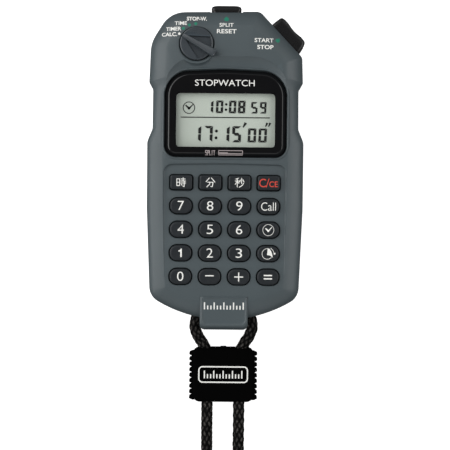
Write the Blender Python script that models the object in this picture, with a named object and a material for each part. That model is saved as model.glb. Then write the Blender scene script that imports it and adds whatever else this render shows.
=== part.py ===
"""Hand-held digital stopwatch with a calculator keypad, a mode dial, two pushers and a neck cord.

The drawing is in millimetres. +Y points to the top of the device, +X to its right and +Z out of
its face. The origin is at the middle of the device, on the plane its back lies on.
"""

import math

import bmesh
import bpy
from mathutils import Vector

MM = 0.001
UP = (0.0, 0.0, 1.0)
RIGHT = (1.0, 0.0, 0.0)

# Case outline, clockwise from the upper left: x, y, corner radius.
CASE_OUTLINE = (
    (-36.4, 60.2, 16.0),
    (-27.2, 75.0, 13.0),
    (16.3, 75.65, 4.2),
    (36.9, 53.6, 3.5),
    (37.3, 40.8, 2.5),
    (35.2, 37.4, 3.0),
    (35.3, 18.5, 3.0),
    (37.85, 12.3, 6.0),
    (37.75, -20.0, 60.0),
    (36.0, -62.7, 8.2),
    (0.0, -83.6, 63.5),
    (-36.0, -62.7, 8.2),
    (-37.75, -20.0, 60.0),
    (-37.85, 12.3, 6.0),
    (-35.3, 18.5, 3.0),
    (-35.2, 37.4, 3.0),
    (-37.1, 40.8, 2.5),
)
HEAD_OUTLINE = (
    (-36.4, 60.2, 16.0),
    (-27.2, 75.0, 13.0),
    (16.3, 75.65, 4.2),
    (36.9, 53.6, 3.5),
    (37.2, 41.6, 1.0),
    (-37.0, 41.6, 1.0),
)
ARCH_OUTLINE = ((-29.4, 52.0, 16.0), (29.4, 52.0, 16.0), (29.4, 30.0, 5.0), (-29.4, 30.0, 5.0))
LENS_OUTLINE = (
    (-29.2, 45.6, 12.0),
    (0.0, 46.9, 60.0),
    (29.2, 45.6, 12.0),
    (29.2, 4.8, 5.5),
    (-29.2, 4.8, 5.5),
)
RECESS_OUTLINE = (
    (-29.5, 1.0, 4.0),
    (0.0, 1.6, 200.0),
    (29.5, 1.0, 4.0),
    (29.0, -58.5, 6.0),
    (-29.0, -58.5, 6.0),
)
BOARD_OUTLINE = (
    (-27.5, 66.5, 8.0),
    (-5.0, 66.5, 1.0),
    (-5.0, 62.5, 1.0),
    (12.8, 62.5, 1.0),
    (27.5, 46.8, 1.0),
    (27.5, -59.0, 6.0),
    (-27.5, -59.0, 6.0),
)

# Sections through the case: inset from the outline, height.
REAR_SECTION = ((2.2, 0.0), (1.0, 0.5), (0.3, 1.6), (0.0, 3.0), (0.0, 11.0))
FRONT_SECTION = (
    (0.0, 11.3),
    (0.0, 17.0),
    (0.25, 18.0),
    (0.9, 19.0),
    (2.0, 20.1),
    (3.6, 21.2),
    (5.6, 22.05),
    (7.8, 22.5),
)
HEAD_SECTION = ((0.9, 17.5), (0.9, 19.0), (1.6, 20.6), (2.8, 22.2), (4.8, 23.4), (7.6, 24.2))
LENS_SECTION = ((0.5, 21.2), (0.0, 21.6), (0.0, 22.3), (0.3, 22.85), (1.0, 23.15), (2.0, 23.2))
REAR_CAVITY = ((2.8, 2.0), (2.4, 3.2), (2.4, 12.0))
FRONT_CAVITY = ((2.4, 11.0), (2.4, 15.0), (5.5, 19.2))
GAP = 0.3

# Keypad: four columns by five rows.
KEY_X = (-21.0, -7.0, 7.0, 21.0)
KEY_Y = (-7.5, -18.8, -30.1, -41.4, -52.7)
KEY_TOP = 23.6
KEY_SIZES = ((10.6, 7.0, 1.8), (10.5, 7.5, 3.7))
KEY_NAMES = (
    ("key_hours", "key_minutes", "key_seconds", "key_clear"),
    ("key_7", "key_8", "key_9", "key_recall"),
    ("key_4", "key_5", "key_6", "key_clock"),
    ("key_1", "key_2", "key_3", "key_alarm"),
    ("key_0", "key_minus", "key_plus", "key_equals"),
)

# Mode dial.
DIAL_X = -14.2
DIAL_Y = 58.9
DIAL_RADIUS = 8.1
DIAL_RECESS_Z = 22.3
POINTER_ANGLE = math.radians(150.0)

# Pushers: the upper one slides along Y, the corner one square to the chamfered corner.
NOTCH_FLOOR_Y = 74.8
CORNER_FOOT_AT = 18.0
PUSHER_MID_Z = 12.4

SPEAKER_Y = 40.0

# Battery compartment in the back.
CELL_RADIUS = 5.2
CELL_LENGTH = 44.5
CELL_Y = (-35.5, -46.5)
CELL_Z = 7.75
DOOR_X = 26.0
DOOR_LOW_Y = -54.0
HINGE_Y = -28.0
HINGE_Z = 1.0

SCREW_SPOTS = (
    ("upper_left", -31.0, 46.0),
    ("upper_right", 31.0, 46.0),
    ("lower_left", -31.0, -46.0),
    ("lower_right", 31.0, -46.0),
)

# Neck cord: the right half of its route, from behind the post down to the coil.
CORD_RADIUS = 2.7
CORD_ROUTE = (
    (0.0, -65.8, 7.0),
    (4.5, -66.3, 7.0),
    (8.8, -68.2, 7.0),
    (12.0, -71.3, 6.9),
    (13.8, -75.2, 6.5),
    (13.9, -79.2, 5.8),
    (12.4, -83.0, 5.0),
    (10.2, -86.4, 4.3),
    (8.6, -89.8, 4.0),
    (7.95, -93.5, 3.9),
    (7.85, -98.0, 3.9),
    (7.85, -112.0, 3.9),
    (7.85, -127.0, 3.9),
    (7.85, -142.0, 3.9),
    (8.9, -147.5, 3.9),
    (11.6, -152.2, 3.9),
    (14.6, -156.4, 3.8),
    (17.3, -161.0, 3.6),
)
CORD_RISE = {14: 0.3, 15: 1.4, 16: 2.9, 17: 4.2}
COIL_CENTRE_Y = -194.0
COIL_RADII = (26.1, 31.5)
COIL_HEIGHTS = (3.35, 8.7)
SLIDER_HOLE_X = 7.85
SLIDER_HOLE_Z = 3.9


def clear_scene():
    for obj in list(bpy.data.objects):
        bpy.data.objects.remove(obj)


# ---------------------------------------------------------------- outlines


def unit(dx, dy):
    length = math.hypot(dx, dy)
    return dx / length, dy / length


def offset_line(start, end, inset):
    """A point and a direction of the edge moved to the right of its travel, which is inwards."""
    dx, dy = unit(end[0] - start[0], end[1] - start[1])
    return (start[0] + dy * inset, start[1] - dx * inset), (dx, dy)


def crossing(first, second):
    (px, py), (dx, dy) = first
    (qx, qy), (ex, ey) = second
    along = ((qx - px) * ey - (qy - py) * ex) / (dx * ey - dy * ex)
    return px + dx * along, py + dy * along


def corner_arc(before, after, radius, inset):
    """The rounded corner between two offset lines. Its number of points does not depend on the inset."""
    x, y = crossing(before, after)
    (dx, dy), (ex, ey) = before[1], after[1]
    turn = math.acos(max(-1.0, min(1.0, dx * ex + dy * ey)))
    convex = dx * ey - dy * ex < 0
    side = -1 if convex else 1
    fit = max(radius - inset, 0.15) if convex else radius + inset
    steps = max(1, math.ceil(turn / math.radians(30.0)), math.ceil(radius * turn / 6.0))
    tangent = fit * math.tan(turn / 2)
    start_x, start_y = x - dx * tangent, y - dy * tangent
    mid_x, mid_y = start_x - dy * side * fit, start_y + dx * side * fit
    first = math.atan2(start_y - mid_y, start_x - mid_x)
    points = []
    for step in range(steps + 1):
        angle = first + side * turn * step / steps
        points.append((mid_x + fit * math.cos(angle), mid_y + fit * math.sin(angle)))
    return points


def rounded(corners, inset=0.0):
    """The outline through rounded corners, moved inwards by the inset. Corners run clockwise."""
    count = len(corners)
    lines = [offset_line(corners[i], corners[(i + 1) % count], inset) for i in range(count)]
    points = []
    for i in range(count):
        points += corner_arc(lines[i - 1], lines[i], corners[i][2], inset)
    return points


def box_outline(x_low, x_high, y_low, y_high, radius):
    corners = ((x_low, y_high), (x_high, y_high), (x_high, y_low), (x_low, y_low))
    return rounded([(x, y, radius) for x, y in corners])


def at_height(outline, z):
    return [(x, y, z) for x, y in outline]


# ------------------------------------------------------------------ solids


def new_object(name, mesh):
    bm = bmesh.new()
    bm.from_mesh(mesh)
    bmesh.ops.recalc_face_normals(bm, faces=bm.faces)
    bm.to_mesh(mesh)
    bm.free()
    obj = bpy.data.objects.new(name, mesh)
    bpy.context.scene.collection.objects.link(obj)
    return obj


def ring_solid(name, rings, closed=False):
    """A solid through a stack of rings of equal length, capped at its ends unless it closes on itself."""
    size = len(rings[0])
    points = [(x * MM, y * MM, z * MM) for ring in rings for x, y, z in ring]
    faces = []
    last = len(rings) if closed else len(rings) - 1
    for k in range(last):
        low = k * size
        high = ((k + 1) % len(rings)) * size
        for i in range(size):
            j = (i + 1) % size
            faces.append((low + i, low + j, high + j, high + i))
    if not closed:
        faces.append(tuple(reversed(range(size))))
        faces.append(tuple(range((len(rings) - 1) * size, len(rings) * size)))
    mesh = bpy.data.meshes.new(name)
    mesh.from_pydata(points, [], faces)
    return new_object(name, mesh)


def prism(name, outline, z_low, z_high):
    return ring_solid(name, [at_height(outline, z_low), at_height(outline, z_high)])


def box(name, x_low, x_high, y_low, y_high, z_low, z_high):
    outline = ((x_low, y_low), (x_high, y_low), (x_high, y_high), (x_low, y_high))
    return prism(name, outline, z_low, z_high)


def sections(name, corners, profile):
    """A solid whose outline at each height is the same drawing with another inset."""
    return ring_solid(name, [at_height(rounded(corners, inset), z) for inset, z in profile])


def turned(name, profile, sides, centre, axis):
    """A solid of revolution from radius and distance pairs along an axis."""
    along = Vector(axis).normalized()
    across = along.orthogonal().normalized()
    other = along.cross(across)
    rings = []
    for radius, distance in profile:
        middle = Vector(centre) + along * distance
        ring = []
        for i in range(sides):
            angle = 2 * math.pi * i / sides
            point = middle + (across * math.cos(angle) + other * math.sin(angle)) * radius
            ring.append(tuple(point))
        rings.append(ring)
    return ring_solid(name, rings)


def swept(name, route, radius, sides):
    """A round tube along a list of points, with its ends closed."""
    rings = []
    side = None
    for i, point in enumerate(route):
        ahead = route[min(i + 1, len(route) - 1)]
        behind = route[max(i - 1, 0)]
        along = (ahead - behind).normalized()
        side = along.orthogonal() if side is None else side - along * side.dot(along)
        side.normalize()
        other = along.cross(side)
        turns = [2 * math.pi * k / sides for k in range(sides)]
        rings.append([tuple(point + (side * math.cos(a) + other * math.sin(a)) * radius) for a in turns])
    return ring_solid(name, rings)


def bake(obj):
    graph = bpy.context.evaluated_depsgraph_get()
    mesh = bpy.data.meshes.new_from_object(obj.evaluated_get(graph))
    obj.modifiers.clear()
    obj.data = mesh
    mesh.name = obj.name


def combine(target, tool, operation):
    modifier = target.modifiers.new(name=operation.lower(), type="BOOLEAN")
    modifier.operation = operation
    modifier.solver = "EXACT"
    modifier.object = tool
    bake(target)
    bpy.data.objects.remove(tool)


def cut(target, tool):
    combine(target, tool, "DIFFERENCE")


def join(target, tool):
    combine(target, tool, "UNION")


def gather(name, pieces):
    """Several separate solids in one mesh, to cut or join them in one go."""
    bm = bmesh.new()
    for piece in pieces:
        bm.from_mesh(piece.data)
        bpy.data.objects.remove(piece)
    mesh = bpy.data.meshes.new(name)
    bm.to_mesh(mesh)
    bm.free()
    return new_object(name, mesh)


def plain_material(name, colour, roughness, metallic=0.0):
    material = bpy.data.materials.new(name)
    material.use_nodes = True
    shader = material.node_tree.nodes["Principled BSDF"]
    shader.inputs["Base Color"].default_value = (*colour, 1.0)
    shader.inputs["Roughness"].default_value = roughness
    shader.inputs["Metallic"].default_value = metallic
    return material


def finish_object(obj, colour, roughness, metallic=0.0, origin=(0.0, 0.0, 0.0), smooth=False):
    """Gives an object its material, its origin and its shading."""
    obj.data.materials.clear()
    obj.data.materials.append(plain_material(obj.name, colour, roughness, metallic))
    shift = Vector(origin) * MM
    for vertex in obj.data.vertices:
        vertex.co -= shift
    obj.location = shift
    if smooth:
        obj.data.shade_smooth()
        obj.data.set_sharp_from_angle(angle=math.radians(35.0))
    return obj


GREY = (0.085, 0.105, 0.112)
BLACK = (0.012, 0.012, 0.013)
KEY_BLACK = (0.022, 0.025, 0.030)
CORD_BLACK = (0.012, 0.012, 0.012)
METAL = (0.62, 0.60, 0.56)
GREEN_BOARD = (0.03, 0.16, 0.07)


# ------------------------------------------------------- the corner pusher


def chamfer_frame():
    """The corner pusher's foot, the direction along the chamfer and the direction out of it."""
    upper, lower = CASE_OUTLINE[2], CASE_OUTLINE[3]
    tx, ty = unit(lower[0] - upper[0], lower[1] - upper[1])
    foot = Vector((upper[0] + tx * CORNER_FOOT_AT, upper[1] + ty * CORNER_FOOT_AT, 0.0))
    return foot, Vector((tx, ty, 0.0)), Vector((-ty, tx, 0.0))


def upper_frame():
    """The same three for the upper pusher."""
    return Vector((0.0, NOTCH_FLOOR_Y, 0.0)), Vector((1.0, 0.0, 0.0)), Vector((0.0, 1.0, 0.0))


def placed_rings(frame, sizes):
    """Rounded rectangles across a pusher, each from its span along it, its span in Z, radius and distance."""
    foot, along, out = frame
    rings = []
    for low, high, z_low, z_high, radius, distance in sizes:
        outline = box_outline(low, high, z_low, z_high, radius)
        rings.append([tuple(foot + along * a + out * distance + Vector((0.0, 0.0, b))) for a, b in outline])
    return rings


def pusher(name, frame, sizes, flange_half, flange_back, post_end):
    """A cap through the case wall, a flange that stops it inside the wall and a post for its spring."""
    foot, _, out = frame
    body = ring_solid(name, placed_rings(frame, sizes))
    flange_sizes = [(-flange_half, flange_half, 6.6, 15.0, 1.0, flange_back + rise) for rise in (0.0, 1.0)]
    join(body, ring_solid("flange", placed_rings(frame, flange_sizes)))
    post_foot = foot + Vector((0.0, 0.0, PUSHER_MID_Z))
    post = turned("post", [(1.5, post_end), (1.5, flange_back + 0.5)], 16, post_foot, out)
    join(body, post)
    return finish_object(body, BLACK, 0.42, origin=tuple(post_foot), smooth=True)


def pusher_spring(name, frame, start, end):
    foot, along, out = frame
    up = Vector((0.0, 0.0, 1.0))
    turns = 3.5
    count = 32
    route = []
    for i in range(count + 1):
        angle = 2 * math.pi * turns * i / count
        middle = foot + up * PUSHER_MID_Z + out * (start + (end - start) * i / count)
        route.append(middle + (along * math.cos(angle) + up * math.sin(angle)) * 2.3)
    spring = swept(name, route, 0.28, 5)
    return finish_object(spring, METAL, 0.3, 1.0, smooth=True)


def pusher_switch(name, frame, face, back):
    sizes = [(-3.2, 3.2, 10.4, 14.4, 0.4, back), (-3.2, 3.2, 10.4, 14.4, 0.4, face)]
    return finish_object(ring_solid(name, placed_rings(frame, sizes)), (0.05, 0.05, 0.055), 0.5)


def make_pushers():
    corner = [
        (-9.5, 9.5, 7.4, 17.4, 1.6, -3.4),
        (-9.5, 9.4, 7.4, 17.4, 1.6, 0.3),
        (-9.2, 8.5, 7.5, 17.3, 1.6, 4.2),
        (-8.9, 7.9, 7.9, 16.9, 1.6, 5.7),
        (-8.1, 6.9, 8.8, 16.0, 1.4, 6.5),
    ]
    pusher("start_stop_button", chamfer_frame(), corner, 10.4, -3.75, -5.8)
    pusher_spring("start_stop_spring", chamfer_frame(), -4.35, -6.9)
    pusher_switch("start_stop_switch", chamfer_frame(), -7.5, -11.0)
    upper = [
        (-7.05, 7.05, 7.4, 17.4, 1.6, -2.8),
        (-7.05, 7.05, 7.4, 17.4, 1.6, 2.4),
        (-6.7, 6.7, 7.7, 17.1, 1.5, 3.3),
        (-5.4, 5.4, 8.8, 16.0, 1.2, 3.9),
    ]
    pusher("split_reset_button", upper_frame(), upper, 8.2, -3.15, -5.2)
    pusher_spring("split_reset_spring", upper_frame(), -3.75, -6.3)
    pusher_switch("split_reset_switch", upper_frame(), -6.9, -10.4)


def pusher_openings():
    """What lets the pushers through the walls of both halves of the case."""
    corner_sizes = [(-9.85, 9.85, 7.05, 17.75, 1.9, -6.0), (-9.85, 9.85, 7.05, 17.75, 1.9, 3.0)]
    upper_sizes = [(-7.4, 7.4, 7.05, 17.75, 1.9, -6.0), (-7.4, 7.4, 7.05, 17.75, 1.9, 3.0)]
    notch = ((-7.6, NOTCH_FLOOR_Y), (7.7, NOTCH_FLOOR_Y), (9.6, 77.0), (-9.5, 77.0))
    return [
        ring_solid("corner_opening", placed_rings(chamfer_frame(), corner_sizes)),
        ring_solid("upper_opening", placed_rings(upper_frame(), upper_sizes)),
        prism("notch", notch, -1.0, 30.0),
    ]


# -------------------------------------------------------------------- case


def key_hole(x, y, row, margin):
    width, height, radius = KEY_SIZES[0 if row == 0 else 1]
    half_x = width / 2 + margin
    half_y = height / 2 + margin
    return box_outline(x - half_x, x + half_x, y - half_y, y + half_y, radius + margin)


def front_shell():
    case = sections("front_case", CASE_OUTLINE, FRONT_SECTION)
    join(case, sections("head", HEAD_OUTLINE, HEAD_SECTION))
    cavity = sections("cavity", CASE_OUTLINE, FRONT_CAVITY)
    for _, x, y in SCREW_SPOTS:
        cut(cavity, turned("boss", [(2.9, 10.0), (2.9, 20.0)], 20, (x, y, 0.0), UP))
    cut(cavity, box("tab_block", -19.0, 19.0, -90.0, -60.5, 10.0, 20.0))
    cut(case, cavity)
    return case


def lower_arch(case):
    """The band that slopes from the raised head down to the lens."""
    low = at_height(rounded(ARCH_OUTLINE, 4.5), 22.3)
    high = at_height(rounded(ARCH_OUTLINE, -0.6), 24.55)
    cut(case, ring_solid("arch", [low, high]))


def recess_floor(x, y):
    return (x, y, 21.65 + (1.6 - y) * 0.0145)


def open_front(case):
    cut(case, sections("lens_pocket", LENS_OUTLINE, ((-0.35, 20.5), (-0.35, 30.0))))
    cut(case, box("window", -26.5, 26.5, 6.5, 38.5, 15.0, 25.0))
    outline = rounded(RECESS_OUTLINE)
    cut(case, ring_solid("recess", [[recess_floor(x, y) for x, y in outline], at_height(outline, 30.0)]))
    holes = []
    for row, y in enumerate(KEY_Y):
        for x in KEY_X:
            holes.append(prism("hole", key_hole(x, y, row, GAP), 15.0, 30.0))
    cut(case, gather("key_holes", holes))
    centre = (DIAL_X, DIAL_Y, 0.0)
    recess = [(DIAL_RADIUS + 0.4, DIAL_RECESS_Z), (DIAL_RADIUS + 0.4, 30.0)]
    cut(case, turned("dial_recess", recess, 40, centre, UP))
    cut(case, turned("shaft_hole", [(2.8, 15.0), (2.8, 25.0)], 24, centre, UP))
    for tool in pusher_openings():
        cut(case, tool)


def make_front_case():
    case = front_shell()
    lower_arch(case)
    open_front(case)
    for _, x, y in SCREW_SPOTS:
        cut(case, turned("thread", [(1.4, 10.0), (1.4, 16.6)], 16, (x, y, 0.0), UP))
    cut(case, box("tab_notch", -11.9, 11.9, -90.0, -61.8, 12.2, 30.0))
    finish_object(case, GREY, 0.5, smooth=True)


def rear_cavity():
    cavity = sections("cavity", CASE_OUTLINE, REAR_CAVITY)
    for _, x, y in SCREW_SPOTS:
        cut(cavity, turned("post", [(3.4, 1.0), (3.4, 13.0)], 20, (x, y, 0.0), UP))
    cut(cavity, box("lug_block", -19.0, 19.0, -90.0, -60.8, 1.0, 13.0))
    walls = [
        box("wall", -28.1, -26.9, -55.8, -25.3, 1.0, 13.0),
        box("wall", 26.9, 28.1, -55.8, -25.3, 1.0, 13.0),
        box("wall", -27.5, 27.5, -55.8, -54.7, 1.0, 13.0),
        box("wall", -27.5, 27.5, -26.5, -25.3, 1.0, 13.0),
    ]
    for wall in walls:
        cut(cavity, wall)
    return cavity


def open_rear(case):
    cut(case, box("door_hole", -26.3, 26.3, -54.3, -26.8, -1.0, 3.0))
    pins = turned("hinge_holes", [(0.7, -27.2), (0.7, 27.2)], 12, (0.0, HINGE_Y, HINGE_Z), RIGHT)
    cut(case, pins)
    slots = []
    for i in range(-2, 3):
        reach = 11.0 - abs(i) * 1.3
        y = SPEAKER_Y + i * 3.4
        slots.append(prism("slot", box_outline(-reach, reach, y - 0.8, y + 0.8, 0.75), -1.0, 3.0))
    cut(case, gather("slots", slots))
    cut(case, prism("label_recess", box_outline(-21.0, 21.0, -3.0, 19.0, 1.5), -1.0, 0.25))
    lug = box_outline(-17.2, 17.2, -90.0, -62.4, 2.5)
    cut(case, prism("lug_pocket", lug, 3.8, 15.0))
    cut(case, prism("post_socket", box_outline(-5.35, 5.35, -72.75, -68.85, 1.85), 2.6, 5.0))
    for tool in pusher_openings():
        cut(case, tool)


def make_rear_case():
    case = sections("rear_case", CASE_OUTLINE, REAR_SECTION)
    cut(case, rear_cavity())
    open_rear(case)
    for _, x, y in SCREW_SPOTS:
        profile = [(2.3, -1.0), (2.3, 2.6), (1.4, 2.6), (1.4, 13.0)]
        cut(case, turned("screw_hole", profile, 18, (x, y, 0.0), UP))
    finish_object(case, GREY, 0.55, smooth=True)


def make_screws():
    for name, x, y in SCREW_SPOTS:
        profile = [(1.6, 0.4), (1.95, 0.7), (1.95, 2.2), (1.1, 2.2), (1.1, 15.4), (0.7, 16.0)]
        screw = turned("case_screw_" + name, profile, 16, (x, y, 0.0), UP)
        cut(screw, box("cross", x - 1.1, x + 1.1, y - 0.25, y + 0.25, 0.0, 1.2))
        cut(screw, box("cross", x - 0.25, x + 0.25, y - 1.1, y + 1.1, 0.0, 1.2))
        finish_object(screw, METAL, 0.35, 1.0, smooth=True)


# ---------------------------------------------------------- display, board


def make_display():
    lens = sections("display_lens", LENS_OUTLINE, LENS_SECTION)
    finish_object(lens, BLACK, 0.08, smooth=True)
    mask = sections("lens_mask", LENS_OUTLINE, ((0.4, 20.7), (0.4, 20.95)))
    cut(mask, prism("mask_window", box_outline(-23.8, 23.8, 9.45, 35.5, 1.8), 20.0, 22.0))
    finish_object(mask, BLACK, 0.5)
    panel = box("lcd_panel", -26.0, 26.0, 7.0, 38.0, 18.3, 20.35)
    finish_object(panel, (0.36, 0.40, 0.35), 0.35)
    frame = prism("lcd_frame", box_outline(-27.2, 27.2, 4.6, 39.4, 1.0), 15.1, 18.0)
    cut(frame, box("frame_hole", -24.0, 24.0, 8.5, 36.0, 14.0, 19.0))
    finish_object(frame, (0.6, 0.6, 0.58), 0.6)
    strip = box("lcd_connector_strip", -22.0, 22.0, 32.5, 34.7, 15.1, 18.0)
    finish_object(strip, (0.55, 0.25, 0.30), 0.7)


def make_board():
    board = sections("main_board", BOARD_OUTLINE, ((0.0, 13.4), (0.0, 14.8)))
    finish_object(board, GREEN_BOARD, 0.5)
    sheet = prism("keypad_sheet", box_outline(-27.0, 27.0, -58.3, -1.8, 2.0), 15.1, 16.2)
    domes = []
    for y in KEY_Y:
        for x in KEY_X:
            domes.append(turned("dome", [(3.2, 15.7), (3.2, 16.4), (2.0, 17.1)], 10, (x, y, 0.0), UP))
    join(sheet, gather("domes", domes))
    finish_object(sheet, (0.30, 0.30, 0.29), 0.75)
    chip = box("processor_chip", -7.0, 7.0, -12.0, 2.0, 11.5, 13.1)
    finish_object(chip, (0.02, 0.02, 0.02), 0.5)
    can = [(1.2, 11.0), (1.5, 11.4), (1.5, 17.6), (1.2, 18.0)]
    crystal = turned("crystal", can, 16, (0.0, 8.0, 11.5), RIGHT)
    finish_object(crystal, METAL, 0.3, 1.0, smooth=True)
    profile = [(14.0, 2.3), (14.0, 4.4), (12.2, 5.0), (7.0, 5.4), (7.0, 8.3)]
    speaker = turned("speaker", profile, 28, (0.0, SPEAKER_Y, 0.0), UP)
    finish_object(speaker, METAL, 0.4, 1.0, smooth=True)


# -------------------------------------------------------------------- keys


def make_keys():
    meshes = {}
    for row, names in enumerate(KEY_NAMES):
        for column, name in enumerate(names):
            shape = 0 if row == 0 else 1
            if shape not in meshes:
                meshes[shape] = key_mesh(row)
            obj = bpy.data.objects.new(name, meshes[shape].copy())
            bpy.context.scene.collection.objects.link(obj)
            finish_object(obj, KEY_BLACK, 0.45, smooth=True)
            obj.location = Vector((KEY_X[column], KEY_Y[row], 0.0)) * MM


def key_mesh(row):
    """One key at the origin: a flange under the face and a cap through it."""
    profile = ((-0.9, 18.0), (-0.9, 18.9), (0.0, 18.9), (0.0, 22.95), (0.25, 23.4), (0.85, KEY_TOP))
    rings = [at_height(key_hole(0.0, 0.0, row, -inset), z) for inset, z in profile]
    obj = ring_solid("key", rings)
    mesh = obj.data
    bpy.data.objects.remove(obj)
    return mesh


# -------------------------------------------------------------------- dial


def along_pointer(reach, across, z):
    """A point given by its distance towards the pointer's tail and across it."""
    tail = POINTER_ANGLE + math.pi
    x = DIAL_X + reach * math.cos(tail) - across * math.sin(tail)
    y = DIAL_Y + reach * math.sin(tail) + across * math.cos(tail)
    return (x, y, z)


def scoop(z_low, z_high):
    """The sunken V on both sides of the lever, open from the pointer to the far rim."""
    apex = -7.2
    edge = [(apex, 0.0)]
    for i in range(11):
        angle = math.radians(-56.0 + 112.0 * i / 10)
        edge.append((7.2 * math.cos(angle), 7.2 * math.sin(angle)))
    return ring_solid("scoop", [[along_pointer(a, b, z) for a, b in edge] for z in (z_low, z_high)])


def lever():
    outline = ((-7.7, -0.7), (-7.7, 0.7), (9.4, 1.5), (10.4, 1.0), (10.4, -1.0), (9.4, -1.5))
    rings = []
    for z_low, slope, shrink in ((24.75, 0.0, 1.0), (26.0, 0.1, 1.0), (26.5, 0.11, 0.55)):
        rings.append([along_pointer(a, b * shrink, z_low + slope * (a + 7.7)) for a, b in outline])
    return ring_solid("lever", rings)


def lever_root():
    """What ties the lever to the floor of the sunken V."""
    outline = ((-7.4, -0.95), (-7.4, 0.95), (7.7, 1.65), (7.7, -1.65))
    return ring_solid("root", [[along_pointer(a, b, z) for a, b in outline] for z in (23.4, 25.3)])


def make_dial():
    centre = (DIAL_X, DIAL_Y, 0.0)
    profile = [(2.5, 15.3), (2.5, 22.65), (8.1, 22.65), (8.1, 25.2), (7.75, 25.6)]
    dial = turned("mode_dial", profile, 40, centre, UP)
    cut(dial, scoop(24.6, 26.5))
    join(dial, lever_root())
    join(dial, lever())
    finish_object(dial, (0.05, 0.06, 0.068), 0.45, origin=centre, smooth=True)
    rotor = turned("dial_rotor", [(6.0, 16.1), (6.0, 17.5)], 28, centre, UP)
    cut(rotor, turned("hole", [(2.8, 15.0), (2.8, 19.0)], 24, centre, UP))
    finish_object(rotor, (0.5, 0.5, 0.48), 0.5, origin=centre, smooth=True)
    switch = turned("mode_switch", [(7.0, 15.1), (7.0, 15.8)], 28, centre, UP)
    cut(switch, turned("hole", [(2.9, 14.0), (2.9, 17.0)], 24, centre, UP))
    finish_object(switch, (0.45, 0.36, 0.12), 0.4, 0.6, smooth=True)


# --------------------------------------------------------------- batteries


def make_batteries():
    names = ("battery_cell_upper", "battery_cell_lower")
    for name, y, side in zip(names, CELL_Y, (1.0, -1.0)):
        half = CELL_LENGTH / 2
        profile = [(4.8, -half), (CELL_RADIUS, -half + 0.5), (CELL_RADIUS, half - 1.3), (4.8, half - 0.9)]
        profile += [(1.9, half - 0.9), (1.9, half)]
        cell = turned(name, profile, 24, (0.0, y, CELL_Z), (side, 0.0, 0.0))
        finish_object(cell, (0.10, 0.11, 0.12), 0.35, 0.4, smooth=True)
    bridge = box("battery_bridge_contact", -23.3, -22.75, -50.5, -31.5, 3.4, 12.0)
    finish_object(bridge, METAL, 0.3, 1.0)
    tab = box("battery_tab_positive", 22.75, 23.3, -39.5, -31.5, 3.4, 12.0)
    finish_object(tab, METAL, 0.3, 1.0)
    route = []
    for i in range(33):
        angle = 2 * math.pi * 3.5 * i / 32
        radius = 3.6 - 1.5 * i / 32
        y = CELL_Y[1] + radius * math.cos(angle)
        route.append(Vector((25.6 - 2.7 * i / 32, y, CELL_Z + radius * math.sin(angle))))
    finish_object(swept("battery_spring_negative", route, 0.3, 5), METAL, 0.3, 1.0, smooth=True)


def make_door():
    """The battery door, with a half-round edge on its hinge line and a finger notch opposite."""
    door = prism("battery_door", box_outline(-DOOR_X, DOOR_X, DOOR_LOW_Y, HINGE_Y, 0.5), 0.2, 1.8)
    hinge = (0.0, HINGE_Y, HINGE_Z)
    edge = [(0.8, -DOOR_X + 0.01), (0.8, DOOR_X - 0.01)]
    join(door, turned("edge", edge, 16, hinge, RIGHT))
    join(door, turned("pins", [(0.4, -26.9), (0.4, 26.9)], 12, hinge, RIGHT))
    cut(door, prism("notch", box_outline(-6.0, 6.0, -53.2, -50.2, 1.3), -1.0, 0.9))
    ribs = []
    for y in (-47.5, -45.5, -43.5):
        ribs.append(prism("rib", box_outline(-18.0, 18.0, y - 0.4, y + 0.4, 0.3), -1.0, 0.45))
    cut(door, gather("ribs", ribs))
    finish_object(door, GREY, 0.55, origin=hinge)


# ----------------------------------------------------------------- lanyard


def make_tab():
    sizes = (
        (0.5, 0.8, 0.3, 12.5),
        (0.0, 0.0, 0.0, 13.3),
        (0.0, 0.0, 0.0, 19.8),
        (0.0, 0.4, 0.0, 21.2),
        (0.15, 1.0, 0.1, 22.0),
        (0.7, 2.2, 0.6, 22.75),
    )
    rings = []
    for side, low, high, z in sizes:
        outline = box_outline(-11.6 + side, 11.6 - side, -78.0 + low, -62.1 - high, 1.2)
        rings.append([(x, y, z + 0.02 * (y + 62.1)) for x, y in outline])
    finish_object(ring_solid("lanyard_tab", rings), GREY, 0.5, smooth=True)
    post = prism("lanyard_post", box_outline(-5.0, 5.0, -72.4, -69.2, 1.5), 2.9, 11.0)
    finish_object(post, METAL, 0.35, 1.0, smooth=True)


def blended(p0, p1, p2, p3, t):
    """The point at t on the smooth curve between p1 and p2."""
    slope = p2 - p0
    bend = p0 * 2 - p1 * 5 + p2 * 4 - p3
    twist = p1 * 3 - p0 - p2 * 3 + p3
    return (p1 * 2 + slope * t + bend * t**2 + twist * t**3) / 2


def smooth_route(points, spacing):
    """A smooth curve through the route points, read at even steps."""
    dense = []
    for i in range(len(points) - 1):
        before = points[max(i - 1, 0)]
        after = points[min(i + 2, len(points) - 1)]
        for k in range(12):
            dense.append(blended(before, points[i], points[i + 1], after, k / 12))
    dense.append(points[-1])
    route = [dense[0]]
    walked = 0.0
    for before, after in zip(dense, dense[1:]):
        walked += (after - before).length
        if walked >= spacing:
            route.append(after)
            walked = 0.0
    if (dense[-1] - route[-1]).length < spacing / 2:
        route.pop()
    route.append(dense[-1])
    return route


def cord_points():
    """The whole route: up the left strand, round the post and down the right strand."""
    right = []
    left = []
    for i, (x, y, z) in enumerate(CORD_ROUTE):
        right.append(Vector((x, y, z + CORD_RISE.get(i, 0.0))))
        left.append(Vector((-x, y, z)))
    return left[:0:-1] + right


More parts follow.
